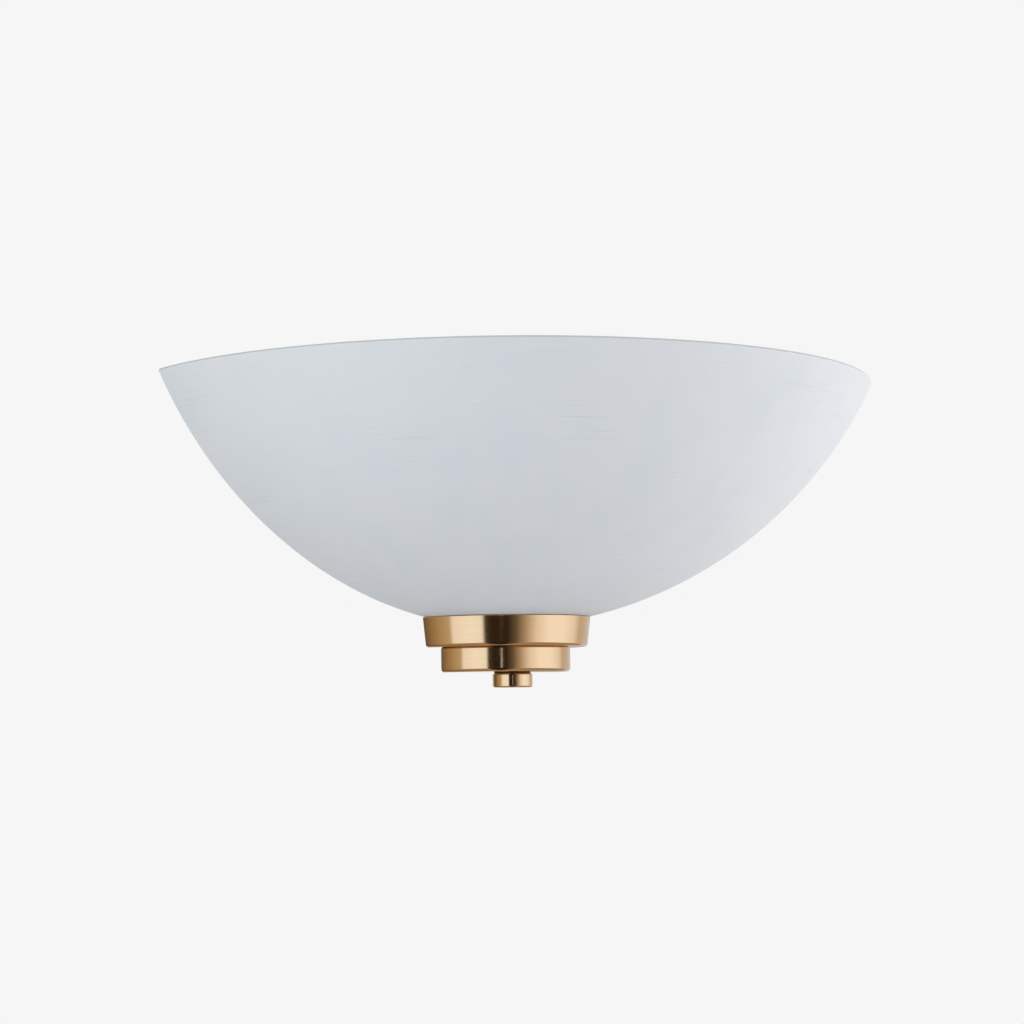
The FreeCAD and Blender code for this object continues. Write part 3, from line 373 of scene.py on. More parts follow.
def turned(radius, height, turn):
    """Surface of revolution about Z: x = radius cos(turn), y = radius sin(turn), z = height."""
    radius, height, turn = np.broadcast_arrays(radius, height, turn)
    return np.stack([radius * np.cos(turn), radius * np.sin(turn), height], -1)


def full_turn(line):
    """A (radius, height) line turned all the way round the Z axis."""
    columns = 96
    return turned(line[:, :1], line[:, 1:], np.linspace(0, math.tau, columns + 1))


def half_turn(radius, height, columns):
    """Lines turned half way round the bowl's axis, in front of the wall.

    Each turn starts and ends where its circle meets the plane y = -WALL_GAP, so the cut is flat.
    """
    share = np.linspace(0, 1, columns)
    start = np.arcsin(WALL_GAP / radius)
    return turned(radius, height, -(start + share * (math.pi - 2 * start)))


def threaded(line, pitch, depth, low, high, wave, columns):
    """A line turned round Z with a right-hand thread cut into it between two heights.

    The radius drops by depth times wave(height / pitch - turn / full circle), and the drop fades in
    over half a pitch at each end.
    """
    line = dense(line, pitch / THREAD_STEPS)
    turn = np.linspace(0, math.tau, columns + 1)
    radius, height = line[:, :1], line[:, 1:]
    fade = np.clip(np.minimum(height - low, high - height) / (pitch / 2), 0, 1)
    drop = depth * fade * wave(height / pitch - turn / math.tau)
    return turned(radius - drop, height, turn)


def cut_wave(phase):
    """Sharp thread: 0 at a crest, 1 at a root, straight flanks with a narrow flat at each."""
    flat = 0.075
    return np.clip((1 + 2 * flat) * np.abs(2 * (phase % 1) - 1) - flat, 0, 1)


def rolled_wave(phase):
    """Round thread: a cosine from 0 at a crest to 1 at a root."""
    return (1 - np.cos(math.tau * phase)) / 2


def on_rod(points):
    """Points about the Z axis, moved to the rod's axis."""
    return points + [0, ROD_Y, 0]


def on_lamp(points):
    """Points about the Z axis, laid along +X on the lamp's axis: (x, y, z) becomes (z, y, -x)."""
    return np.stack([points[..., 2], points[..., 1] + LAMP_Y, LAMP_Z - points[..., 0]], -1)


def on_wall(points, x, z):
    """Points about the Z axis, turned to stand out of the wall: (x, y, z) becomes (x, -z, y)."""
    return np.stack([points[..., 0] + x, -points[..., 2], points[..., 1] + z], -1)


def spun(points, turn):
    """Points turned about the Z axis: (x cos - y sin, x sin + y cos, z)."""
    cos, sin = math.cos(turn), math.sin(turn)
    return points @ np.array([[cos, sin, 0], [-sin, cos, 0], [0, 0, 1]])


def mesh_from(name, grids, maps=None):
    """Mesh of four-sided faces between neighbouring points of each grid.

    Grid edges that touch are merged, and faces point outwards. A map gives each point of a grid its
    place in the UV layer, in metres along the surface.
    """
    quads, count = [], 0
    for grid in grids:
        rows, columns = grid.shape[:2]
        index = count + np.arange(rows * columns).reshape(rows, columns)
        sides = [index[:-1, :-1], index[1:, :-1], index[1:, 1:], index[:-1, 1:]]
        quads.append(np.stack(sides, -1).reshape(-1, 4))
        count += rows * columns
    points = np.concatenate([grid.reshape(-1, 3) for grid in grids])
    mesh = bpy.data.meshes.new(name)
    mesh.from_pydata(points.tolist(), [], np.concatenate(quads).tolist())
    if maps:
        corners = np.empty(len(mesh.loops), np.int32)
        mesh.loops.foreach_get("vertex_index", corners)
        places = np.concatenate([grid.reshape(-1, 2) for grid in maps])
        layer = mesh.uv_layers.new(name="along_surface")
        layer.data.foreach_set("uv", places[corners].ravel().astype(np.float32))
    work = bmesh.new()
    work.from_mesh(mesh)
    bmesh.ops.remove_doubles(work, verts=work.verts, dist=MERGE)
    bmesh.ops.dissolve_degenerate(work, edges=work.edges, dist=MERGE)
    bmesh.ops.recalc_face_normals(work, faces=work.faces)
    work.to_mesh(mesh)
    work.free()
    mesh.shade_smooth()
    mesh.set_sharp_from_angle(angle=SHARP_ANGLE)
    return mesh


def stand_for(node, material, grids, maps=None):
    """New piece that takes a CAD node's place, body and material slot."""
    piece = bpy.data.objects.new(node + "_finished", mesh_from(node + "_finished", grids, maps))
    bpy.context.scene.collection.objects.link(piece)
    piece.data.materials.append(material)
    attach(piece, frame["nodes"][node]["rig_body"])
    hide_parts(node)


def finish_nodes(material, *nodes):
    """Give CAD nodes a finish; their shapes stay as they are."""
    for node in nodes:
        for holder in frame["nodes"][node].material_slots:
            holder.material = material


# Glass


def shade_grids(shade):
    """Half a bowl: two spheres about one centre, a rounded rim, a notch for the rod and a flat cut.

    A point is at radius R sin(a) and height centre - R cos(a), with a from the notch to the rim.
    The notch is a slot with a round end, so its reach from the bowl's axis is half its width over
    the cosine of the turn, or the far side of its round end.
    """
    columns = 241
    rows = 97
    outer = (shade.width**2 / 4 + shade.depth**2) / (2 * shade.depth)
    inner = outer - shade.wall
    rim = SHADE_HIGH.z
    centre = rim + outer - shade.depth
    turn = np.linspace(0, math.pi, columns)
    toward_rod = -ROD_Y * np.sin(turn)
    beside = shade.notch / np.maximum(np.abs(np.cos(turn)), 1e-9)
    beyond = toward_rod + np.sqrt(np.maximum(toward_rod**2 - ROD_Y**2 + shade.notch**2, 0))
    reach = np.where(beside * np.sin(turn) <= -ROD_Y, beside, beyond)
    share = np.linspace(0, 1, rows)[:, None]
    arc = np.linspace(0, 1, ROUND_STEPS + 1)[:, None]
    edge = shade.rim_round
    touch_out = math.acos((centre - rim + edge) / (outer - edge))
    touch_in = math.acos((centre - rim + edge) / (inner + edge))
    out_angle = np.arcsin(reach / outer) * (1 - share) + touch_out * share
    in_angle = np.arcsin(reach / inner) * share + touch_in * (1 - share)
    out_swing = (touch_out - math.pi / 2) * (1 - arc) + math.pi / 2 * arc
    in_swing = math.pi / 2 * (1 - arc) + (touch_in + math.pi / 2) * arc
    wide = np.ones((1, columns))
    radii = [
        outer * np.sin(out_angle),
        ((outer - edge) * math.sin(touch_out) + edge * np.cos(out_swing)) * wide,
        ((inner + edge) * math.sin(touch_in) + edge * np.cos(in_swing)) * wide,
        inner * np.sin(in_angle),
    ]
    heights = [
        centre - outer * np.cos(out_angle),
        (rim - edge + edge * np.sin(out_swing)) * wide,
        (rim - edge + edge * np.sin(in_swing)) * wide,
        centre - inner * np.cos(in_angle),
    ]
    skin = half_turn(np.concatenate(radii), np.concatenate(heights), columns)
    down = distances(skin[:, columns // 2])[:, None]
    around = turn * shade.width / 2
    skin_map = np.stack(np.broadcast_arrays(around, down), -1)
    grids = [np.concatenate([skin, skin[:1]])]
    maps = [np.concatenate([skin_map, skin_map[-1:] + [0, shade.wall]])]
    half = len(skin) // 2
    outer_side = down[:half] * [0, 1]
    for end in (0, -1):
        grids.append(np.stack([skin[:half, end], skin[:half - 1:-1, end]], 1))
        maps.append(np.stack([outer_side, outer_side + [shade.wall, 0]], 1))
    return grids, maps


def cup_grids(low, high, foot, mouth, hole, edge, metal):
    """Half of a drawn cup with a hole for the rod.

    The wall is an outer and an inner line turned half way, which meet at the mouth's crest. The
    floor is ruled between the foot of the wall, closed by the straight cut, and the hole.
    """
    columns, cut_points, floor_rings = 181, 21, 5
    wall, bend = metal.cup_wall, metal.cup_round
    crest = max(edge + MOUTH_MARGIN, wall / 2)
    inner_edge = INNER_EDGE_SHARE * (wall - crest)
    outside = rounded_line(
        (foot - bend, low, 0), (foot, low, bend), (mouth, high, edge), (mouth - crest, high, 0)
    )
    inside = rounded_line(
        (foot - bend, low + wall, 0), (foot - wall, low + wall, bend - wall),
        (mouth - wall, high, inner_edge), (mouth - crest, high, 0),
    )
    skins = [half_turn(line[:, :1], line[:, 1:], columns) for line in (outside, inside)]
    grids = skins + [np.stack([skins[0][:, end], skins[1][:, end]], 1) for end in (0, -1)]
    centre = np.array([0, ROD_Y])
    share = np.linspace(0, 1, cut_points)[:, None]
    foot_arc = skins[0][0, :, :2]
    straight = foot_arc[-1] * (1 - share) + foot_arc[0] * share
    border = np.concatenate([foot_arc, straight[1:]])
    towards = border - centre
    round_hole = centre + hole * towards / np.linalg.norm(towards, axis=1, keepdims=True)
    ruling = np.linspace(0, 1, floor_rings)[:, None, None]
    plan = border * (1 - ruling) + round_hole * ruling
    levels = [np.full(plan.shape[:2] + (1,), z) for z in (low, low + wall)]
    floors = [np.concatenate([plan, level], -1) for level in levels]
    bore = [level[-1] for level in floors]
    cut = [level[0, columns - 1:] for level in floors]
    return grids + floors + [np.stack(bore), np.stack(cut)]


def nut_grids(bore, across, low, high, chamfer):
    """Hex nut with its corners on X, cut by a cone at each face, and opened by one at each end.

    The radius is half the width across flats over the cosine of the turn from the nearest flat's
    middle. Where that is past a face's circle, the side ends as far from the face as it is past it.
    """
    turn = np.linspace(0, math.tau, 145)
    from_flat = (turn % (math.pi / 3)) - math.pi / 6
    hexagon = across / 2 / np.cos(from_flat)
    face = np.minimum(across / math.sqrt(3) - chamfer, hexagon)
    rise = hexagon - face
    lead = bore * NUT_LEAD_SHARE
    drop = lead - bore
    radii = [bore, lead, face, hexagon, hexagon, face, lead, bore]
    heights = [low + drop, low, low, low + rise, high - rise, high, high, high - drop]
    rows = [turned(radius, height, turn) for radius, height in zip(radii, heights)]
    return [np.stack(rows + rows[:1])]


def screw_grids(sizes):
    """Slotted screw about Z from sizes in millimetres: a disc whose columns lie along the slot.

    The top is top - crown (r / head)^2, and falls by half the head's height between the two
    doubled columns at the slot's walls. Below the rim come the seat, the shank and its end.
    """
    head, seat, top, crown, slot, shank, low = np.array(sizes) * MM
    half = head * np.sin(np.linspace(0, math.pi / 2, 9))
    clear_of_slot = 1.2 * slot
    side = half[half > clear_of_slot][::-1]
    columns = np.concatenate([-side, [-slot, -slot, 0, slot, slot], side[::-1]])
    sunk = np.zeros(len(columns))
    sunk[len(side) + 1:len(side) + 4] = 1
    across = np.linspace(-1, 1, 17)[:, None]
    reach = np.sqrt(np.maximum(head**2 - columns**2, 0))
    x, y = columns + 0 * across, across * reach
    depth = (top - seat) / 2
    disc = np.stack([x, y, top - crown * (x**2 + y**2) / head**2 - depth * sunk], -1)
    border = np.concatenate([disc[0], disc[-1][::-1][1:], disc[0][:1]])
    flat = border * [1, 1, 0]
    shares = [(1, seat), (shank / head, seat), (shank / head, low), (0, low)]
    skirt = np.stack([border] + [flat * share + [0, 0, height] for share, height in shares])
    return [disc, skirt]


def tube_grids(corners, radius):
    """Round tube along runs joined by arcs, each as large as the shorter of its runs allows.

    A ring at each point of the path lies across the path's direction, turned about it so that one
    fixed direction, laid across the path, is where its turn starts.
    """
    points = np.array(corners) * MM
    runs = np.diff(points, axis=0)
    lengths = np.linalg.norm(runs, axis=1)
    unit = runs / lengths[:, None]
    half = np.arccos(np.clip(-np.sum(unit[:-1] * unit[1:], axis=1), -1, 1)) / 2
    reach = WIRE_BEND_SHARE * np.minimum(lengths[:-1], lengths[1:])
    rounds = np.concatenate([[0], reach * np.tan(half), [0]])
    path = rounded_line(*np.column_stack([points, rounds]))
    ahead = np.gradient(path, axis=0)
    ahead /= np.linalg.norm(ahead, axis=1, keepdims=True)
    start = WIRE_SIDE - ahead * (ahead @ WIRE_SIDE)[:, None]
    start /= np.linalg.norm(start, axis=1, keepdims=True)
    other = np.cross(ahead, start)
    around = 24
    turn = np.linspace(0, math.tau, around + 1)[:, None]
    rings = path[:, None] + radius * (np.cos(turn) * start[:, None] + np.sin(turn) * other[:, None])
    ends = [np.broadcast_to(path[end], rings[end].shape) for end in (0, -1)]
    along = distances(path)[:, None]
    places = np.stack(np.broadcast_arrays(turn[None, :, 0] * radius, along), -1)
    grid = np.concatenate([ends[0][None], rings, ends[1][None]])
    return [grid], [np.concatenate([places[:1], places, places[-1:]])]


# Finishes


def add(tree, kind, settings, inputs):
    """Add a node. A setting is an attribute, and the inputs go in order, or by name or number.

    An input is a plain value, another node's output, or a node, which stands for its first output.
    """
    made = tree.nodes.new("ShaderNode" + kind)
    for name, value in settings.items():
        setattr(made, name, value)
    for name, value in inputs.items() if isinstance(inputs, dict) else enumerate(inputs):
        if isinstance(value, bpy.types.Node):
            value = value.outputs[0]
        if isinstance(value, bpy.types.NodeSocket):
            tree.links.new(value, made.inputs[name])
        else:
            made.inputs[name].default_value = value
    return made


def new_material(name, **sockets):
    """Material with one Principled shader and its plain values set on the shader's own sockets."""
    material = bpy.data.materials.new(name)
    material.use_nodes = True
    tree = material.node_tree
    shader = tree.nodes["Principled BSDF"]
    for socket, value in sockets.items():
        shader.inputs[socket.replace("_", " ")].default_value = value
    return material, tree, shader


def opaque(rgb):
    """Red, green, blue and a full alpha."""
    return (*rgb[:3], 1.0)


def tinted(rgb, factor):
    """A colour made darker or lighter by a factor."""
    return [min(c * factor, 1.0) for c in rgb]


def grain(tree, vector, scale, detail, stretch=(1, 1, 1)):
    """Noise whose grain is scale metres across, drawn out by the stretch along each axis."""
    sizes = [1 / (scale * s) for s in stretch]
    mapped = add(tree, "Mapping", {"vector_type": "POINT"}, {"Vector": vector, "Scale": sizes})
    return add(tree, "TexNoise", {}, {"Vector": mapped, "Scale": 1.0, "Detail": detail})


def layered(tree, base, layers):
    """Colour with others laid over it in turn, each as (share, colour)."""
    over = opaque(base)
    for share, rgb in layers:
        inputs = {0: share, 6: over, 7: opaque(rgb)}
        over = add(tree, "Mix", {"data_type": "RGBA"}, inputs).outputs[2]
    return over


def dress(tree, shader, colour_output, gloss=None, height=None, depth=0.0):
    """Give a shader its colour, the roughness and, from a height of 0 to 1, a bump of a depth."""
    tree.links.new(colour_output, shader.inputs["Base Color"])
    if gloss:
        tree.links.new(gloss.outputs[0], shader.inputs["Roughness"])
    if depth:
        inputs = {"Height": height, "Distance": depth, "Strength": 1.0}
        tree.links.new(add(tree, "Bump", {}, inputs).outputs[0], shader.inputs["Normal"])


def clouded(name, tone, factor, size, roughness, depth=0.0, stretch=(1, 1, 1), **sockets):
    """Finish that runs between a tone and the same times a factor, over grains of a size.

    Its gloss varies over finer grains: the roughness is a (lowest, highest) pair, and the depth is
    that of the surface's grain.
    """
    material, tree, shader = new_material(name, **sockets)
    where = add(tree, "TexCoord", {}, {}).outputs["Object"]
    cloud = add(tree, "MapRange", {}, (grain(tree, where, size, 3.0, stretch), *CLOUD_RANGE))
    fine = grain(tree, where, size / FINER, 2.0, stretch)
    gloss = add(tree, "MapRange", {}, (fine, *NOISE_RANGE, *roughness))
    shades = layered(tree, tone, [(cloud, tinted(tone, factor))])
    dress(tree, shader, shades, gloss, fine, depth)
    return material


def satin_opal_glass(shade):
    """Flashed opal glass, satin etched outside: even and pale, with fine drawn streaks round the
    bowl, a few longer scratches, and faint cool clouds where the white layer is thinner. A darker
    grey band along the top of the rim is painted shade."""
    material, tree, shader = new_material(
        "satin_opal_glass", Roughness=0.5, IOR=1.52, Specular_IOR_Level=0.25
    )
    coordinates = add(tree, "TexCoord", {}, {})
    around = coordinates.outputs["UV"]
    # Real streaks and scratches are finer than this; they are drawn as coarse as it takes to show
    streaks = grain(tree, around, 0.9 * MM, 2.0, (70, 1, 1))
    patches = grain(tree, around, 24 * MM, 1.0, (2.5, 1, 1))
    clouds = grain(tree, around, 26 * MM, 1.0, (1, 1.3, 1))
    dashes = grain(tree, around, 0.7 * MM, 0.0, (10, 1, 1))
    parts = add(tree, "SeparateXYZ", {}, [coordinates.outputs["Object"]])
    drawn = add(tree, "MapRange", {}, (streaks, 0.55, 0.75, 0.0, 0.33))
    streaked = add(tree, "MapRange", {}, (patches, 0.45, 0.7))
    # Painted shade: a darker grey band from 1.1 mm to 0.5 mm under the top of the rim
    ground = SHADE_HIGH.z - 1.1 * MM, SHADE_HIGH.z - 0.5 * MM
    layers = (
        (add(tree, "MapRange", {}, (clouds, 0.45, 0.7, 0.0, 0.3)), shade.cool),
        (add(tree, "Math", {"operation": "MULTIPLY"}, (drawn, streaked)), shade.streak),
        (add(tree, "MapRange", {}, (dashes, 0.78, 0.84, 0.0, 0.2)), WHITE),
        (add(tree, "MapRange", {}, (parts.outputs[2], *ground, 0.0, 0.8)), shade.rim),
    )
    gloss = add(tree, "MapRange", {}, (streaks, *NOISE_RANGE, 0.46, 0.56))
    dress(tree, shader, layered(tree, shade.glass, layers), gloss, streaks, 0.01 * MM)
    return material


def lacquered_brass(metal):
    """Polished brass under clear lacquer: a warm mirror with faint lines round it from the buff,
    and a thin clear coat that whitens at glancing angles."""
    material, tree, shader = new_material(
        "lacquered_polished_brass", Metallic=1.0, Coat_Weight=0.35, Coat_Roughness=0.06
    )
    where = add(tree, "TexCoord", {}, {}).outputs["Object"]
    # The buff's real lines are finer than this; they are drawn as coarse as it takes to show
    buff = grain(tree, where, 0.5 * MM, 2.0, (40, 40, 1))
    haze = add(tree, "MapRange", {}, (buff, *NOISE_RANGE))
    gloss = add(tree, "MapRange", {}, (buff, *NOISE_RANGE, 0.09, 0.13))
    dress(tree, shader, layered(tree, metal.brass, [(haze, tinted(metal.brass, 0.96))]), gloss)
    return material


def striped_insulation(name, ground, stripe):
    """Smooth PVC insulation in two colours, each down half of the wire, soft to the touch and
    scuffed in places."""
    material, tree, shader = new_material(name, Roughness=0.42)
    coordinates = add(tree, "TexCoord", {}, {})
    parts = add(tree, "SeparateXYZ", {}, [coordinates.outputs["UV"]])
    half_round = math.pi * WIRE_RADIUS
    half = add(tree, "Math", {"operation": "GREATER_THAN"}, (parts, half_round))
    wear = grain(tree, coordinates.outputs["Object"], 3 * MM, 3.0)
    scuff = add(tree, "MapRange", {}, (wear, 0.5, 0.8, 0.0, 0.2))
    dress(tree, shader, layered(tree, ground, [(half, stripe), (scuff, tinted(ground, 0.6))]))
    return material


# Pieces


class UPLIGHTER_OT_shade(Operator):
    """Blow the half bowl of satin opal glass."""

    bl_idname = "uplighter.shade"
    bl_label = "Glass shade"

    def execute(self, context):
        shade = context.scene.uplighter.shade
        stand_for("glass_shade", satin_opal_glass(shade), *shade_grids(shade))
        return {"FINISHED"}


class UPLIGHTER_OT_gallery(Operator):
    """Draw the two brass cups under the glass."""

    bl_idname = "uplighter.gallery"
    bl_label = "Gallery"

    def execute(self, context):
        metal = context.scene.uplighter.metal
        brass = lacquered_brass(metal)
        for node, taper, hole, edge in (
            ("gallery_upper", metal.taper, metal.upper_hole, metal.upper_mouth),
            ("gallery_lower", 0, metal.lower_hole, metal.lower_mouth),
        ):
            low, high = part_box(node)
            mouth = (high.x - low.x) / 2
            grids = cup_grids(low.z, high.z, mouth - taper, mouth, hole, edge, metal)
            stand_for(node, brass, grids)
        return {"FINISHED"}


class UPLIGHTER_OT_finial(Operator):
    """Turn the finial with its spigot and blind bore, and finish its fibre washer."""

    bl_idname = "uplighter.finial"
    bl_label = "Finial"

    def execute(self, context):
        settings = context.scene.uplighter
        metal = settings.metal
        radius = (FINIAL_HIGH.x - FINIAL_LOW.x) / 2
        top = WASHER_LOW.z
        spigot = metal.lower_hole - SPIGOT_GAP
        bore, bore_end = ROD_RADIUS + RUNNING_GAP, ROD_LOW.z - BORE_BELOW_ROD
        line = rounded_line(
            (0, FINIAL_LOW.z, 0),
            (radius, FINIAL_LOW.z, metal.finial_round),
            (radius, top, metal.finial_round),
            (spigot, top, 0),
            (spigot, FINIAL_HIGH.z, SPIGOT_EDGE),
            (bore, FINIAL_HIGH.z, 0),
            (bore, bore_end, 0),
            (0, bore_end, 0),
        )
        brass = bpy.data.materials["lacquered_polished_brass"]
        stand_for("finial_nut", brass, [on_rod(full_turn(line))])
        # Vulcanised fibre: dull, with a fine grain
        tone = settings.fittings.fibre
        fibre = clouded("vulcanised_fibre", tone, 1.4, 2 * MM, (0.6, 0.75), 0.02 * MM)
        finish_nodes(fibre, "finial_washer")
        return {"FINISHED"}


class UPLIGHTER_OT_rod(Operator):
    """Cut the threaded rod and its two nuts, and finish the washer."""

    bl_idname = "uplighter.rod"
    bl_label = "Threaded rod"

    def execute(self, context):
        metal = context.scene.uplighter.metal
        # Yellow passivated zinc is straw coloured, and darker in clouds
        steel = clouded(
            "yellow_passivated_steel", metal.passivate, 0.8, 3 * MM, (0.28, 0.42), Metallic=1.0
        )
        cut = metal.thread_depth
        tip = ROD_RADIUS - cut
        low, high = ROD_LOW.z, ROD_HIGH.z
        line = rounded_line(
            (0, low, 0), (tip, low, 0), (ROD_RADIUS, low + cut, 0),
            (ROD_RADIUS, high - cut, 0), (tip, high, 0), (0, high, 0),
        )
        rod = threaded(line, metal.thread_pitch, cut, low, high, cut_wave, 48)
        stand_for("threaded_rod", steel, [on_rod(rod)])
        for node in ("rod_nut_upper", "rod_nut_lower"):
            low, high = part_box(node)
            across = high.y - low.y
            chamfer = min(NUT_CHAMFER, NUT_CHAMFER_SHARE * (high.z - low.z))
            grids = nut_grids(ROD_RADIUS + RUNNING_GAP, across, low.z, high.z, chamfer)
            stand_for(node, steel, [on_rod(grid) for grid in grids])
        finish_nodes(steel, "rod_washer")
        return {"FINISHED"}


class UPLIGHTER_OT_plate(Operator):
    """Finish the wall plate, the folded brackets and the rubber parts."""

    bl_idname = "uplighter.plate"
    bl_label = "Wall plate"

    def execute(self, context):
        settings = context.scene.uplighter
        # Zinc plate on rolled sheet: grey blue, with a faint grain along the sheet
        zinc, along_sheet = settings.metal.zinc, (6, 1, 1)
        steel = clouded(
            "zinc_plated_sheet_steel", zinc, 0.9, 6 * MM, (0.3, 0.42), 0.004 * MM, along_sheet,
            Metallic=1.0,
        )
        finish_nodes(steel, "wall_plate", "rod_bracket", "lampholder_bracket")
        # Moulded rubber: dull, with a fine texture from its mould
        black, pale = settings.fittings.black_rubber, settings.fittings.pad_rubber
        nitrile = clouded("nitrile_rubber", black, 1.25, 1.5 * MM, (0.6, 0.8), 0.01 * MM)
        finish_nodes(nitrile, "cable_grommet")
        silicone = clouded("silicone_rubber", pale, 0.93, 2 * MM, (0.5, 0.65), 0.01 * MM)
        finish_nodes(silicone, "shade_gasket", "seat_ring")
        return {"FINISHED"}


class UPLIGHTER_OT_terminals(Operator):
    """Finish the terminal block and earth tag, and cut their slotted screws."""

    bl_idname = "uplighter.terminals"
    bl_label = "Terminals"

    def execute(self, context):
        settings = context.scene.uplighter
        nylon, contact, zinc = settings.fittings.nylon, settings.metal.contact, settings.metal.zinc
        # Moulded nylon is a little waxy, plain brass has dulled, and zinc plated screws are bright
        moulded = clouded("moulded_nylon", nylon, 0.95, 4 * MM, (0.4, 0.5), Subsurface_Weight=0.1)
        finish_nodes(moulded, "terminal_block")
        brass = clouded("plain_brass", contact, 0.86, 2 * MM, (0.25, 0.4), Metallic=1.0)
        finish_nodes(brass, "terminal_inserts", "earth_tag", "lamp_contact")
        finish_nodes(brass, "lampholder_contact", "lampholder_posts")
        steel = clouded("zinc_plated_screw_steel", zinc, 0.85, 1.5 * MM, (0.25, 0.35), Metallic=1.0)
        finish_nodes(steel, "earth_washer", "bracket_rivets")
        for node, sizes, places in SCREWS:
            grids = [
                on_wall(spun(part, turn), x * MM, z * MM)
                for x, z, turn in places
                for part in screw_grids(sizes)
            ]
            stand_for(node, steel, grids)
        return {"FINISHED"}


class UPLIGHTER_OT_lampholder(Operator):
    """Roll the lampholder's screw shell, cut its screws and glaze its body."""

    bl_idname = "uplighter.lampholder"
    bl_label = "Lampholder"

    def execute(self, context):
        fittings = context.scene.uplighter.fittings
        pitch, depth = fittings.lamp_pitch, fittings.lamp_thread
        # Glazed porcelain: a hard clear gloss over an even, slightly warm white
        glaze = clouded(
            "glazed_porcelain", fittings.porcelain, 0.96, 5 * MM, (0.12, 0.2),
            Coat_Weight=0.6, Coat_Roughness=0.05,
        )
        finish_nodes(glaze, "lampholder_body")
        outer = (SHELL_HIGH.y - SHELL_LOW.y) / 2
        inner, ring = outer - SHELL_WALL, outer - SHELL_RING
        low, high = SHELL_LOW.x, SHELL_HIGH.x
        line = rounded_line(
            (ring, low, 0), (outer, low, 0), (outer, high, 0), (inner, high, 0),
            (inner, low + SHELL_WALL, 0), (ring, low + SHELL_WALL, 0), (ring, low, 0),
        )
        shell = threaded(line, pitch, depth, low + SHELL_LEAD, high, rolled_wave, 72)
        stand_for("lampholder_shell", bpy.data.materials["plain_brass"], [on_lamp(shell)])
        screws = [
            on_lamp(part * [-1, 1, -1] + [0, side * HOLDER_SCREW_OFFSET, HOLDER_LOW.x])
            for side in (-1, 1)
            for part in screw_grids(HOLDER_SCREW)
        ]
        stand_for("lampholder_screws", bpy.data.materials["zinc_plated_screw_steel"], screws)
        return {"FINISHED"}


class UPLIGHTER_OT_lamp(Operator):
    """Roll the lamp's cap, mould its housing and blow its globe."""

    bl_idname = "uplighter.lamp"
    bl_label = "Lamp"

    def execute(self, context):
        settings = context.scene.uplighter
        fittings = settings.fittings
        pitch, depth = fittings.lamp_pitch, fittings.lamp_thread
        nickel = settings.metal.nickel
        # Nickel plate: a grey mirror, softened by its rolling
        plated = clouded("nickel_plated_cap", nickel, 0.9, 2 * MM, (0.2, 0.32), Metallic=1.0)
        radius = (CAP_HIGH.y - CAP_LOW.y) / 2
        low, high, wall = CAP_LOW.x, CAP_HIGH.x, SHELL_WALL
        lip = radius - CAP_LIP
        line = rounded_line(
            (lip, low, 0), (radius, low, CAP_BEND), (radius, high, 0), (radius - wall, high, 0),
            (radius - wall, low + wall, CAP_BEND - wall), (lip, low + wall, 0), (lip, low, 0),
        )
        cap = threaded(line, pitch, depth, low + CAP_LEAD, high - CAP_LEAD, rolled_wave, 96)
        stand_for("lamp_cap", plated, [on_lamp(cap)])
        core = radius - wall - depth - RUNNING_GAP
        start, end = HOUSING_LOW.x, HOUSING_HIGH.x
        shoulder = (HOUSING_HIGH.y - HOUSING_LOW.y) / 2
        collar, collar_end = radius + COLLAR_STEP, high + COLLAR_LENGTH
        line = rounded_line(
            (0, start, 0), (core, start, CORE_EDGE), (core, high, 0),
            (collar, high, HOUSING_EDGE), (collar, collar_end, COLLAR_ROUND),
            (collar + FLARE_STEP, collar_end + FLARE_LENGTH, FLARE_ROUND),
            (shoulder, end - LAND, 0), (shoulder, end, HOUSING_EDGE), (0, end, 0),
        )
        # Moulded plastic: even and half matt
        white = clouded("moulded_white_pbt", fittings.housing, 0.96, 6 * MM, (0.38, 0.46))
        stand_for("lamp_housing", white, [on_lamp(full_turn(line))])
        globe = (GLOBE_HIGH.y - GLOBE_LOW.y) / 2
        centre = GLOBE_HIGH.x - globe
        rise = np.linspace(math.asin((GLOBE_LOW.x - centre) / globe), math.pi / 2, 49)
        outside, inside = [
            np.stack([ball * np.cos(rise), centre + ball * np.sin(rise)], -1)
            for ball in (globe, globe - GLOBE_WALL)
        ]
        line = np.concatenate([outside, inside[::-1], outside[:1]])
        # Opal plastic: light spreads a little way inside it
        opal = clouded(
            "opal_polycarbonate", fittings.globe, 0.98, 10 * MM, (0.32, 0.4),
            Subsurface_Weight=0.2, Subsurface_Radius=(4 * MM, 4 * MM, 4 * MM),
        )
        stand_for("lamp_envelope", opal, [on_lamp(full_turn(line))])
        # Black cap glass: deep and glossy
        black = clouded(
            "black_cap_glass", fittings.vitrite, 1.5, 3 * MM, (0.15, 0.25), Coat_Weight=0.3
        )
        finish_nodes(black, "lamp_cap_insulator")
        return {"FINISHED"}


class UPLIGHTER_OT_wires(Operator):
    """Lay the three leads from the terminal block."""

    bl_idname = "uplighter.wires"
    bl_label = "Wires"

    def execute(self, context):
        fittings = context.scene.uplighter.fittings
        colours = {
            "live_wire": (fittings.live, fittings.live),
            "neutral_wire": (fittings.neutral, fittings.neutral),
            "earth_wire": (fittings.earth, fittings.earth_stripe),
        }
        for node, corners in WIRE_ROUTES.items():
            insulation = striped_insulation("pvc_" + node, *colours[node])
            stand_for(node, insulation, *tube_grids(corners, WIRE_RADIUS))
        return {"FINISHED"}


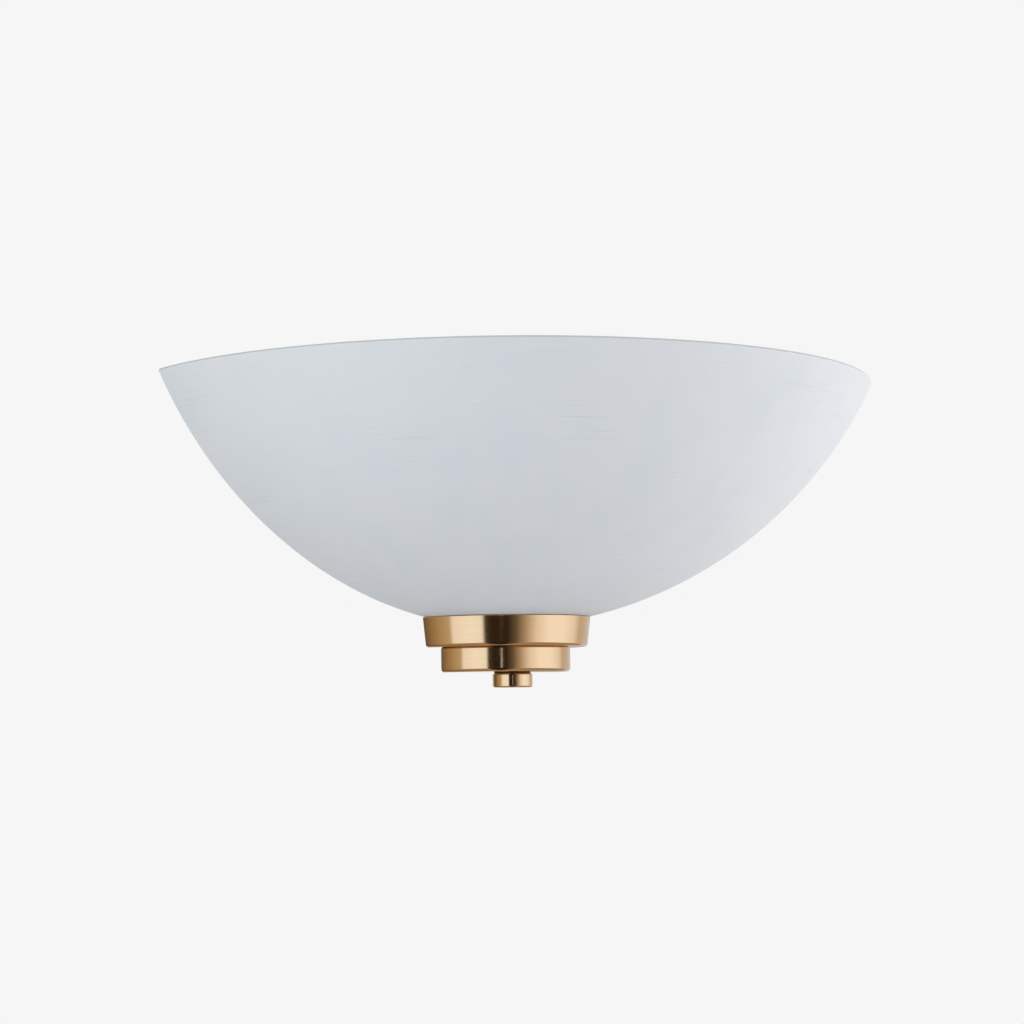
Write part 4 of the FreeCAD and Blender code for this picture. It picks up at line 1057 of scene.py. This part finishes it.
class UPLIGHTER_OT_stage(Operator):
    """Set the camera, the floor, the lamps and the studio's surround."""

    bl_idname = "uplighter.stage"
    bl_label = "Stage"

    def execute(self, context):
        stage = context.scene.uplighter.stage
        scene = context.scene
        scene.view_settings.view_transform = "Standard"
        set_camera(scene, stage)
        set_world(scene, stage)
        set_floor(stage)
        set_surround(SHADE_HIGH.z - stage.floor_drop + MM)
        for name, watts, size, tint, place in LAMPS:
            set_lamp(name, watts, size, tint, place)
        return {"FINISHED"}


def set_camera(scene, stage):
    """Camera at an azimuth, distance and height. It faces the wall's middle, level, and is then
    yawed, pitched and rolled."""
    camera = bpy.data.objects.new("camera", bpy.data.cameras.new("camera"))
    scene.collection.objects.link(camera)
    scene.camera = camera
    camera.data.lens = stage.lens
    camera.data.sensor_width = 36
    camera.data.clip_start, camera.data.clip_end = 0.05, 60
    side, out = math.sin(stage.camera_azimuth), -math.cos(stage.camera_azimuth)
    place = Vector((side * stage.camera_distance, out * stage.camera_distance, stage.camera_height))
    bearing = stage.camera_yaw - stage.camera_azimuth
    flat = Vector((math.sin(bearing), math.cos(bearing), 0))
    right = Vector((math.cos(bearing), -math.sin(bearing), 0))
    up = Vector((0, 0, 1))
    ahead = flat * math.cos(stage.camera_pitch) + up * math.sin(stage.camera_pitch)
    top = up * math.cos(stage.camera_pitch) - flat * math.sin(stage.camera_pitch)
    right_rolled = right * math.cos(stage.camera_roll) + top * math.sin(stage.camera_roll)
    top_rolled = top * math.cos(stage.camera_roll) - right * math.sin(stage.camera_roll)
    axes = Matrix([right_rolled, top_rolled, -ahead]).transposed()
    camera.matrix_world = Matrix.Translation(place) @ axes.to_4x4()


def seen_ray(tree):
    """1 for camera, glossy and transmission rays, and 0 for the rays that light the object."""
    path = add(tree, "LightPath", {}, {})
    seen = path.outputs["Is Camera Ray"]
    for kind in ("Is Glossy Ray", "Is Transmission Ray"):
        seen = add(tree, "Math", {"operation": "MAXIMUM"}, (seen, path.outputs[kind]))
    return seen


def from_axis(tree):
    """How far a point is from the upright axis: the length of (x, y, 0)."""
    where = add(tree, "TexCoord", {}, {}).outputs["Object"]
    flat = add(tree, "VectorMath", {"operation": "MULTIPLY"}, (where, (1, 1, 0)))
    return add(tree, "VectorMath", {"operation": "LENGTH"}, [flat]).outputs["Value"]


def set_world(scene, stage):
    """Even pale light all round, and the backdrop's colour where it is seen."""
    world = bpy.data.worlds.new("studio")
    scene.world = world
    world.use_nodes = True
    world.cycles.sampling_method = "NONE"
    tree = world.node_tree
    tree.nodes.clear()
    light = add(tree, "Background", {}, (opaque(WHITE), stage.ambient))
    backdrop = add(tree, "Background", {}, (opaque(stage.background), 1.0))
    choice = add(tree, "MixShader", {}, (seen_ray(tree), light, backdrop))
    add(tree, "OutputWorld", {}, [choice])


def stage_tree(piece, name):
    """Empty node tree of a piece's new material, which isn't sampled as a lamp."""
    material = bpy.data.materials.new(name)
    material.use_nodes = True
    material.node_tree.nodes.clear()
    material.cycles.emission_sampling = "NONE"
    piece.data.materials.append(material)
    return material.node_tree


def set_floor(stage):
    """Round pale floor that takes the object's shadow, and fades to the backdrop's colour far out.

    From below it is clear, so that the underside can be looked at.
    """
    rings = np.array([(ring, SHADE_HIGH.z - stage.floor_drop) for ring in FLOOR_RINGS])
    floor = bpy.data.objects.new("floor", mesh_from("floor", [full_turn(rings)]))
    if floor.data.polygons[0].normal.z < 0:
        floor.data.flip_normals()
    bpy.context.scene.collection.objects.link(floor)
    tree = stage_tree(floor, "painted_studio_floor")
    far = add(tree, "MapRange", {}, (from_axis(tree), *FLOOR_FADE))
    faded = add(tree, "Math", {"operation": "MULTIPLY"}, (far, seen_ray(tree)))
    paint = add(tree, "BsdfDiffuse", {}, [opaque(stage.floor)])
    glow = add(tree, "Emission", {}, (opaque(stage.background), 1.0))
    above = add(tree, "MixShader", {}, (faded, paint, glow))
    below = add(tree, "BsdfTransparent", {}, {})
    facing = add(tree, "NewGeometry", {}, {})
    sided = add(tree, "MixShader", {}, (facing.outputs["Backfacing"], above, below))
    add(tree, "OutputMaterial", {}, [sided])


def glow_screen(name, grid, colour_of):
    """Glowing screen that only polished metal and gloss show, as a painted reflection in them;
    colour_of gives its colour in its tree.
    """
    screen = bpy.data.objects.new(name, mesh_from(name, [grid]))
    bpy.context.scene.collection.objects.link(screen)
    for ray in ("camera", "diffuse", "transmission", "volume_scatter", "shadow"):
        setattr(screen, "visible_" + ray, False)
    tree = stage_tree(screen, name)
    add(tree, "OutputMaterial", {}, [add(tree, "Emission", {}, (colour_of(tree), SCREENS_GLOW))])


def bearing_shades(tree):
    """Brighter and darker glowing screens by bearing from the camera, which are painted highlights
    and dark bands in the brass, and underfoot their colours held down to a plain shade, which
    paints darker reflections low in the brass.

    The bearing is the arc tangent of x over -y, as a share of a full turn from the camera's back.
    """
    parts = add(tree, "SeparateXYZ", {}, [add(tree, "TexCoord", {}, {}).outputs["Object"]])
    value = add(tree, "Math", {"operation": "MULTIPLY"}, (parts.outputs[1], -1.0))
    value = add(tree, "Math", {"operation": "ARCTAN2"}, (parts.outputs[0], value))
    value = add(tree, "Math", {"operation": "DIVIDE"}, (value, math.tau))
    value = add(tree, "Math", {"operation": "ADD"}, (value, 0.5 + SCREENS_BEARING / 360))
    ramp = add(tree, "ValToRGB", {}, [add(tree, "Math", {"operation": "FRACT"}, [value])])
    stops = ramp.color_ramp.elements
    while len(stops) < len(SCREENS):
        stops.new(1.0)
    for stop, (degrees, shade) in zip(stops, SCREENS):
        stop.position = (degrees + 180) / 360
        stop.color = opaque(linear(shade))
    under = add(tree, "VectorMath", {"operation": "MINIMUM"}, (ramp, linear(UNDER_SHADE)))
    upright = add(tree, "MapRange", {}, (from_axis(tree), *UNDER_ENDS))
    return add(tree, "Mix", {"data_type": "RGBA"}, {0: upright, 6: under, 7: ramp}).outputs[2]


def set_surround(floor_z):
    """Drum of glowing screens round the studio, which paint the highlights and dark bands in the
    brass, and one narrow upright strip in its dark part, which paints a thin glint.
    """
    upright = [(SURROUND_RADIUS, height) for height in (floor_z, *SURROUND_HEIGHTS)]
    glow_screen("studio_screens", full_turn(np.array([(0, floor_z), *upright])), bearing_shades)
    start, end, low, high, share, shade = GLINT_STRIP
    turn = np.radians(np.array([start, end]) - SCREENS_BEARING) - math.pi / 2
    strip = turned(SURROUND_RADIUS * share, np.array([[low], [high]]), turn)
    glow_screen("painted_glint_strip", strip, lambda tree: opaque(linear(shade)))


def set_lamp(name, watts, size, tint, place):
    """Square soft lamp that faces the middle of the bowl and isn't mirrored in the metal."""
    lamp = bpy.data.objects.new(name, bpy.data.lights.new(name, "AREA"))
    bpy.context.scene.collection.objects.link(lamp)
    lamp.data.energy = watts
    lamp.data.color = linear(tint)
    lamp.data.size = size
    lamp.location = place
    towards = Vector((0, SHADE_LOW.y / 2, 0)) - Vector(place)
    lamp.rotation_euler = towards.to_track_quat("-Z", "Y").to_euler()
    lamp.visible_camera = False
    lamp.visible_glossy = False


PIECES = (
    UPLIGHTER_OT_shade,
    UPLIGHTER_OT_gallery,
    UPLIGHTER_OT_finial,
    UPLIGHTER_OT_rod,
    UPLIGHTER_OT_plate,
    UPLIGHTER_OT_terminals,
    UPLIGHTER_OT_lampholder,
    UPLIGHTER_OT_lamp,
    UPLIGHTER_OT_wires,
    UPLIGHTER_OT_stage,
)


class UPLIGHTER_PT_panel(Panel):
    """Lists the pieces in the sidebar."""

    bl_idname = "UPLIGHTER_PT_panel"
    bl_label = "Uplighter"
    bl_space_type = "VIEW_3D"
    bl_region_type = "UI"
    bl_category = "Uplighter"

    def draw(self, context):
        settings = context.scene.uplighter
        for group in ("shade", "metal", "fittings", "stage"):
            box = self.layout.box()
            box.label(text=group.capitalize())
            values = getattr(settings, group)
            for name in values.__annotations__:
                box.prop(values, name)
        for piece in PIECES:
            self.layout.operator(piece.bl_idname)


CLASSES = (
    UplighterShade,
    UplighterMetal,
    UplighterFittings,
    UplighterStage,
    UplighterSettings,
    *PIECES,
    UPLIGHTER_PT_panel,
)


def register():
    for item in CLASSES:
        bpy.utils.register_class(item)
    bpy.types.Scene.uplighter = PointerProperty(type=UplighterSettings)


def unregister():
    del bpy.types.Scene.uplighter
    for item in reversed(CLASSES):
        bpy.utils.unregister_class(item)


def main():
    """Build every piece and the stage."""
    register()
    for piece in PIECES:
        group, name = piece.bl_idname.split(".")
        getattr(getattr(bpy.ops, group), name)()


if __name__ == "__main__":
    main()
